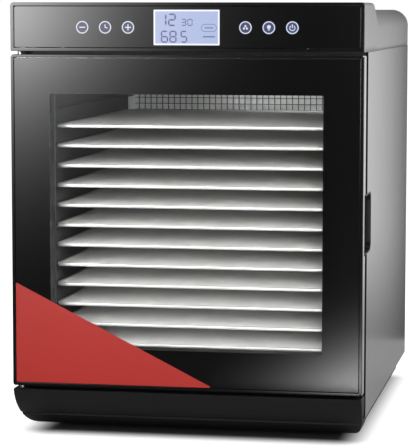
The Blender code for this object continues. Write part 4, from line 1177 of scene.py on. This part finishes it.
class DEHYDRATOR_OT_cavity(bpy.types.Operator):
    """Builds the trays, the runners and the perforated back"""

    bl_idname = "dehydrator.cavity"
    bl_label = "Cavity and trays"

    def execute(self, context):
        size = sizes()
        for node in sorted(name for name in frame["nodes"] if name.startswith("tray_")):
            make_tray(node, size)
        make_back_grid(size)
        # painted shade: the left wall takes a near-black copy of the liner
        softened("liner_left", "dark_liner", 0.0003)
        softened("liner_right", "stainless", 0.0003)
        for node in ("liner_top", "liner_bottom"):
            softened(node, "stainless", 0.0003)
        dress("stainless", "temperature_sensor")
        return {"FINISHED"}


# ---------------------------------------------------------------- works and back


def make_impeller():
    """Hub with curved blades: each blade is a grid that twists and leans forward towards its tip."""
    low, high = corners_of("fan_impeller")
    centre = np.array((0.0, (low[1] + high[1]) / 2, corners_of("motor_shaft")[0][2] + 0.004))
    tip, hub, depth = high[0] - 0.0002, 0.016, high[1] - low[1]
    half = depth / 2
    profile = [(0.0042, -half), (hub - 0.001, -half), (hub, -half + 0.001)]
    profile += [(radius, -distance) for radius, distance in profile[::-1]]
    angle = np.linspace(0, 2 * math.pi, 48, endpoint=False)
    spoke = np.stack([np.cos(angle), np.zeros(48), np.sin(angle)], -1)
    rows = [centre + r * spoke + (0, d, 0) for r, d in profile]
    shapes = [skin(rows, ring=True)]
    radii = np.linspace(hub * 0.9, tip, 12)
    share = (radii - radii[0]) / (radii[-1] - radii[0])
    chord = np.linspace(-1, 1, 9)
    for index in range(7):
        turn = 2 * math.pi * index / 7
        spread = (0.34 + 0.06 * share)[:, None]
        around = turn + 0.30 * share[:, None] ** 1.5 + spread * chord[None] * (1 - 0.25 * share[:, None] ** 6)
        lift = half * 0.86 * chord[None] * (1 - 0.30 * share[:, None]) + 0.0012 * (1 - chord[None] ** 2)
        faces_of = []
        for side in (-1, 1):
            place = np.stack(
                [radii[:, None] * np.cos(around), lift + side * 0.0006, radii[:, None] * np.sin(around)], -1
            )
            faces_of.append(centre + place)
        front, rear = faces_of
        loop = [np.concatenate([front[i], rear[i][::-1]]) for i in range(len(radii))]
        shapes.append(skin(loop))
    piece("fan_blades", shapes, "aluminium", "fan", "fan_impeller")


class DEHYDRATOR_OT_works(bpy.types.Operator):
    """Builds the fan, motor, heater, shroud and the rear cover with its louvres and power inlet"""

    bl_idname = "dehydrator.works"
    bl_label = "Fan, heater and back"

    def execute(self, context):
        make_impeller()
        low, high = corners_of("fan_motor")
        centre = np.array((0.0, low[1], (low[2] + high[2]) / 2))
        radius, span = high[0], high[1] - low[1]
        profile = [(0.0046, 0), (radius * 0.93, 0), (radius * 0.99, 0.0008), (radius, 0.0022)]
        profile += [(radius, span * 0.34), (radius * 0.93, span * 0.36), (radius * 0.93, span * 0.64)]
        profile += [(radius, span * 0.66), (radius, span - 0.003), (radius * 0.97, span - 0.001)]
        profile += [(radius * 0.9, span), (0.009, span), (0.009, span - 0.0006), (0.00002, span - 0.0006)]
        motor = turned(profile, centre, (0, 1, 0), 64)
        piece("fan_motor_can", motor, "zinc", replaces="fan_motor")
        dress("stainless", "motor_shaft")
        for node in ("fan_shroud", "motor_bracket"):
            softened(node, "zinc", 0.0005)
        softened("heating_element", "heater_sheath", 0.0)
        softened("thermal_cutout", "zinc", 0.0004)
        softened("rear_cover", "black_sheet", 0.0006)
        softened("power_inlet", "satin_black", 0.0007)
        low, high = corners_of("rear_cover")
        plane = back(0.543)
        places = [
            (x, z)
            for x in (low[0] + 0.010, 0.0, high[0] - 0.010)
            for z in (low[2] + 0.010, (low[2] + high[2]) / 2, high[2] - 0.010)
            if x or z != (low[2] + high[2]) / 2
        ]
        screws = [screw_head((x, plane, z), (0, 1, 0), 0.0036, 0.0018) for x, z in places]
        piece("rear_screws", screws, "zinc")
        return {"FINISHED"}


# ---------------------------------------------------------------- base


def chin_setback(drop, size):
    """How far the base's face has swept back at a drop: a superellipse of power 1.5."""
    share = np.clip((drop - 0.459) / 0.053, 0, 1)
    return size.chin_sweep * (1 - (1 - share**1.5) ** (1 / 1.5))


def chin_half_width(drop, size):
    """The base's half width at a drop: its ends curve in by a superellipse of power 3."""
    share = np.clip((drop - 0.459) / 0.053, 0, 1)
    return HALF - size.corner_sweep * (1 - (1 - share**3) ** (1 / 3))


class DEHYDRATOR_OT_base(bpy.types.Operator):
    """Builds the swept base, the pan under the cavity and the feet"""

    bl_idname = "dehydrator.base"
    bl_label = "Base"

    def execute(self, context):
        size = sizes()
        low, high = corners_of("base_cover")
        rear = high[1] - FRONT
        share = np.linspace(0, 1, 26)
        drops = (TOP - high[2]) + (high[2] - low[2]) * share
        lip = [(drops[0], 0.0009), (drops[0] + 0.0002, 0.0004), (drops[0] + 0.0006, 0.0)]
        sections = []
        for drop, inset in lip + [(drop, 0.0) for drop in drops[1:]]:
            front = max(float(chin_setback(drop, size)) + inset, 0.0)
            half = float(chin_half_width(drop, size)) - inset
            small = min(0.0016, (rear - front) / 2.2)
            loop = rounded_loop(half, back(front), back(rear), small, 0.0002, 5)
            sections.append(level(loop, down(drop)))
        chin = piece("base_front", skin(sections), "satin_black", "root", "base_cover")
        chin.data.set_sharp_from_angle(angle=math.radians(50))
        hollow = []
        for drop in np.linspace(0.4615, TOP - low[2] - 0.004, 8):
            front = float(chin_setback(drop, size)) + 0.0025
            half = float(chin_half_width(drop, size)) - 0.0025
            loop = rounded_loop(half, back(front), back(rear) + 0.01, 0.0005, 0.0005, 3)
            hollow.append(level(loop, down(drop)))
        pin_low, pin_high = corners_of("hinge_lower")
        pin_x, pin_y = pin_low[0] + 0.0052, (pin_low[1] + pin_high[1]) / 2
        pin = turned([(0.0034, 0.0), (0.0034, 0.02)], np.array((pin_x, pin_y, high[2] - 0.01)), (0, 0, 1), 24)
        carved(chin, [skin(hollow), pin])
        softened("base_pan", "satin_black", 0.0006)
        for name in sorted(name for name in frame["nodes"] if name.startswith("foot_")):
            foot_low, foot_high = corners_of(name)
            radius, tall = (foot_high[0] - foot_low[0]) / 2, foot_high[2] - foot_low[2]
            centre = np.array([*((foot_low + foot_high) / 2)[:2], 0.0])
            profile = [(0.004, 0.0012), (0.0050, 0.0), (radius * 0.80, 0.0), (radius * 0.87, 0.0006)]
            profile += [(radius * 0.97, tall - 0.0016), (radius, tall - 0.0008), (radius, tall)]
            foot = turned([(0.00002, 0.0012)] + profile + [(0.00002, tall)], centre, (0, 0, 1), 48)
            piece(name + "_rubber", foot, "rubber", replaces=name)
        return {"FINISHED"}


# ---------------------------------------------------------------- stage


def floor_material():
    """Matt white, with a glow that only the camera sees, so that the shadow stays soft and pale.

    Both the glow and the floor's colour fade in by a smoothstep of the distance outside a rectangle under
    the object, where the colour is near black: a painted contact shadow. For mirrored rays the floor
    well ahead is dark.
    """
    made, nodes = new_material("floor")
    cloud = nodes.grain(3.0)
    path, place = nodes.add("LightPath").outputs, nodes.place()
    past = place
    for operation, *value in (("ABSOLUTE",), ("SUBTRACT", (0.172, 0.216, 0.0)), ("MAXIMUM", (0.0, 0.0, 0.0))):
        past = nodes.vector(operation, past, *value).outputs["Vector"]
    reach = nodes.vector("LENGTH", past).outputs["Value"]
    # painted contact shadow: under the object the glow is nil and the colour near black, both rising by a
    # smoothstep over 55 mm
    spread = nodes.ranged(reach, 0.0, 0.92, 0.0, 0.055, "SMOOTHSTEP")
    plain = nodes.tinted(cloud, (0.50, 0.50, 0.50), (0.52, 0.52, 0.52))
    # painted shadow: the floor's colour is near black over the rectangle under the object
    nodes.fill(Base_Color=nodes.tinted(spread, (0.015, 0.015, 0.015), plain))
    nodes.fill(Roughness=nodes.ranged(cloud, 0.85, 0.95))
    seen = nodes.math("MULTIPLY", path["Is Camera Ray"], spread)
    glow = nodes.add("Emission", Strength=seen).outputs[0]
    both = nodes.add("AddShader", nodes.nodes["Principled BSDF"].outputs[0], glow).outputs[0]
    ahead = nodes.ranged(nodes.along("Y"), 0.0, 1.0, -0.30, -0.45)
    dark = nodes.add("BsdfDiffuse", (0.05, 0.05, 0.05, 1)).outputs[0]
    mirrored = nodes.math("MULTIPLY", ahead, path["Is Glossy Ray"])
    nodes.join(nodes.nodes["Material Output"].inputs["Surface"], nodes.mixed(mirrored, both, dark))
    return made


def make_world(strength):
    """A dim even room for light. The camera sees plain white, and so do mirrored and refracted rays
    that leave towards the back; those that leave towards the front see a dark studio."""
    world = bpy.data.worlds.new("room")
    bpy.context.scene.world = world
    nodes = Nodes(world, clear=True)
    path = nodes.add("LightPath").outputs
    direction = nodes.add("SeparateXYZ", nodes.add("TexCoord").outputs["Generated"])
    behind = nodes.ranged(direction.outputs["Y"], 0.0, 1.0, -0.15, 0.35)
    white = nodes.background(1.0)
    mirrored = nodes.mixed(behind, nodes.background(0.06), white)
    room = nodes.mixed(path["Is Glossy Ray"], nodes.background(strength), mirrored)
    seen = nodes.math("MAXIMUM", path["Is Camera Ray"], path["Is Transmission Ray"])
    nodes.add("OutputWorld", nodes.mixed(seen, room, white))


def card(name, corners, made):
    """A flat stage card that the camera doesn't see."""
    mesh = bpy.data.meshes.new(name)
    mesh.from_pydata(corners, [], [(0, 1, 2, 3)])
    mesh.materials.append(made)
    obj = bpy.data.objects.new(name, mesh)
    obj.visible_camera = False
    bpy.context.scene.collection.objects.link(obj)
    return obj


def lit(nodes, value):
    """Ends a cleared material in a plain white glow of this strength."""
    nodes.add("OutputMaterial", nodes.add("Emission", Strength=value).outputs[0])


def fading(name, strength, axes):
    """An emission that fades along one or two axes: along each, exp(-(distance / reach) ^ 1.3) past
    an edge. axes holds (axis, edge, reach, direction)."""
    made, nodes = new_material(name, clear=True)
    value = strength
    for axis, edge, reach, direction in axes:
        past = nodes.math("MULTIPLY", nodes.math("SUBTRACT", nodes.along(axis), edge), direction / reach)
        fall = nodes.math("POWER", nodes.math("MAXIMUM", past, 0.0), 1.3)
        value = nodes.math("MULTIPLY", nodes.math("POWER", math.e, nodes.math("MULTIPLY", fall, -1.0)), value)
    lit(nodes, value)
    return made


def ramped(name, ramps):
    """An emission whose strength is the product of smoothsteps. ramps holds (axis, ends, values)."""
    made, nodes = new_material(name, clear=True)
    value = 1.0
    for axis, ends, span in ramps:
        value = nodes.math("MULTIPLY", value, nodes.ranged(nodes.along(axis), *span, *ends, "SMOOTHSTEP"))
    lit(nodes, value)
    return made


def make_cards(stage):
    """The cards that the black front and the silver side mirror."""
    y = back(-1.0)
    key = fading("key card", stage.key, (("X", -0.488, 0.125, 1), ("Z", 0.500, 0.130, -1)))
    card("key_card", [(-0.78, y, 0.02), (-0.78, y, 0.82), (0.05, y, 0.82), (0.05, y, 0.02)], key)
    ramps = (
        ("X", (0.250, 0.330), (0.0, 1.02)),
        ("Z", (-0.02, 0.21), (0.30, 1.0)),
        ("Z", (0.42, 0.62), (1.0, 0.55)),
    )
    y, low, high = 0.55, 0.004, 0.85
    corners = [(-0.6, y, low), (0.75, y, low), (0.75, y, high), (-0.6, y, high)]
    rear = card("rear_card", corners, ramped("rear card", ramps))
    rear.visible_diffuse = False
    rear.visible_shadow = False
    rear.visible_transmission = False
    low = fading("low card", stage.low, (("X", 0.15, 0.065, -1), ("Y", -0.66, 0.33, -1)))
    z = 0.003
    card("low_card", [(-0.05, -1.7, z), (0.19, -1.7, z), (0.19, -0.64, z), (-0.05, -0.64, z)], low)


def area_lamp(name, place, aim, wide, tall, power, mirrored=True):
    """A rectangular lamp that points at a place and that the camera doesn't see."""
    data = bpy.data.lights.new(name, "AREA")
    data.shape = "RECTANGLE"
    data.size, data.size_y, data.energy = wide, tall, power
    lamp = bpy.data.objects.new(name, data)
    lamp.location = place
    lamp.rotation_euler = (Vector(aim) - Vector(place)).to_track_quat("-Z", "Y").to_euler()
    lamp.visible_camera = False
    lamp.visible_glossy = mirrored
    bpy.context.scene.collection.objects.link(lamp)


class DEHYDRATOR_OT_stage(bpy.types.Operator):
    """Sets the floor, the room, the lamps and the camera"""

    bl_idname = "dehydrator.stage"
    bl_label = "Stage"

    def execute(self, context):
        stage = context.scene.dehydrator_stage
        mesh = bpy.data.meshes.new("floor")
        mesh.from_pydata([(-30, -12, 0), (30, -12, 0), (30, 60, 0), (-30, 60, 0)], [], [(0, 1, 2, 3)])
        mesh.materials.append(floor_material())
        floor = bpy.data.objects.new("floor", mesh)
        context.scene.collection.objects.link(floor)
        make_world(stage.world)
        area_lamp("front", (1.0, -3.2, 0.75), (0.0, 0.0, 0.27), 1.2, 1.2, stage.front)
        area_lamp("side", (1.3, -0.9, 0.9), (0.2, -0.1, 0.25), 0.5, 0.8, stage.side, False)
        area_lamp("top", (0.0, 0.5, 2.4), (0.0, 0.0, 0.3), 1.6, 1.6, stage.top)
        strip, ceiling = (0.075, 0.12, 0.436), (0.085, 0.1735, 0.422)
        area_lamp("cavity", strip, ceiling, 0.18, 0.02, stage.cavity, False)
        make_cards(stage)
        data = bpy.data.cameras.new("camera")
        data.lens = stage.lens
        data.sensor_width = 36
        data.clip_start, data.clip_end = 0.05, 200
        camera = bpy.data.objects.new("camera", data)
        camera.location = (0.4824, -2.7271, 0.5105)
        camera.rotation_euler = (math.radians(84.28), math.radians(-0.04), math.radians(10.61))
        context.scene.collection.objects.link(camera)
        context.scene.camera = camera
        context.scene.view_settings.view_transform = "Standard"
        return {"FINISHED"}


# ---------------------------------------------------------------- panel


class DEHYDRATOR_PT_panel(bpy.types.Panel):
    """Sizes, colours and one button for each group"""

    bl_idname = "DEHYDRATOR_PT_panel"
    bl_label = "Food Dehydrator"
    bl_space_type = "VIEW_3D"
    bl_region_type = "UI"
    bl_category = "Dehydrator"

    def draw(self, context):
        layout = self.layout
        scene = context.scene
        for group in (scene.dehydrator_sizes, scene.dehydrator_colours, scene.dehydrator_stage):
            column = layout.box().column(align=True)
            for name in group.__annotations__:
                column.prop(group, name)
        buttons = layout.column(align=True)
        for operator in OPERATORS:
            buttons.operator(operator.bl_idname)


OPERATORS = (
    DEHYDRATOR_OT_head,
    DEHYDRATOR_OT_door,
    DEHYDRATOR_OT_body,
    DEHYDRATOR_OT_cavity,
    DEHYDRATOR_OT_works,
    DEHYDRATOR_OT_base,
    DEHYDRATOR_OT_stage,
)
GROUPS = (DehydratorSizes, DehydratorColours, DehydratorStage)


def register():
    for item in (*GROUPS, *OPERATORS, DEHYDRATOR_PT_panel):
        bpy.utils.register_class(item)
    for name, group in zip(("sizes", "colours", "stage"), GROUPS):
        setattr(bpy.types.Scene, "dehydrator_" + name, bpy.props.PointerProperty(type=group))


def unregister():
    for name in ("sizes", "colours", "stage"):
        delattr(bpy.types.Scene, "dehydrator_" + name)
    for item in reversed((*GROUPS, *OPERATORS, DEHYDRATOR_PT_panel)):
        bpy.utils.unregister_class(item)


def main():
    register()
    for operator in OPERATORS:
        group, action = operator.bl_idname.split(".")
        if getattr(getattr(bpy.ops, group), action)() != {"FINISHED"}:
            raise RuntimeError(f"{operator.bl_idname} did not finish")


if __name__ == "__main__":
    main()
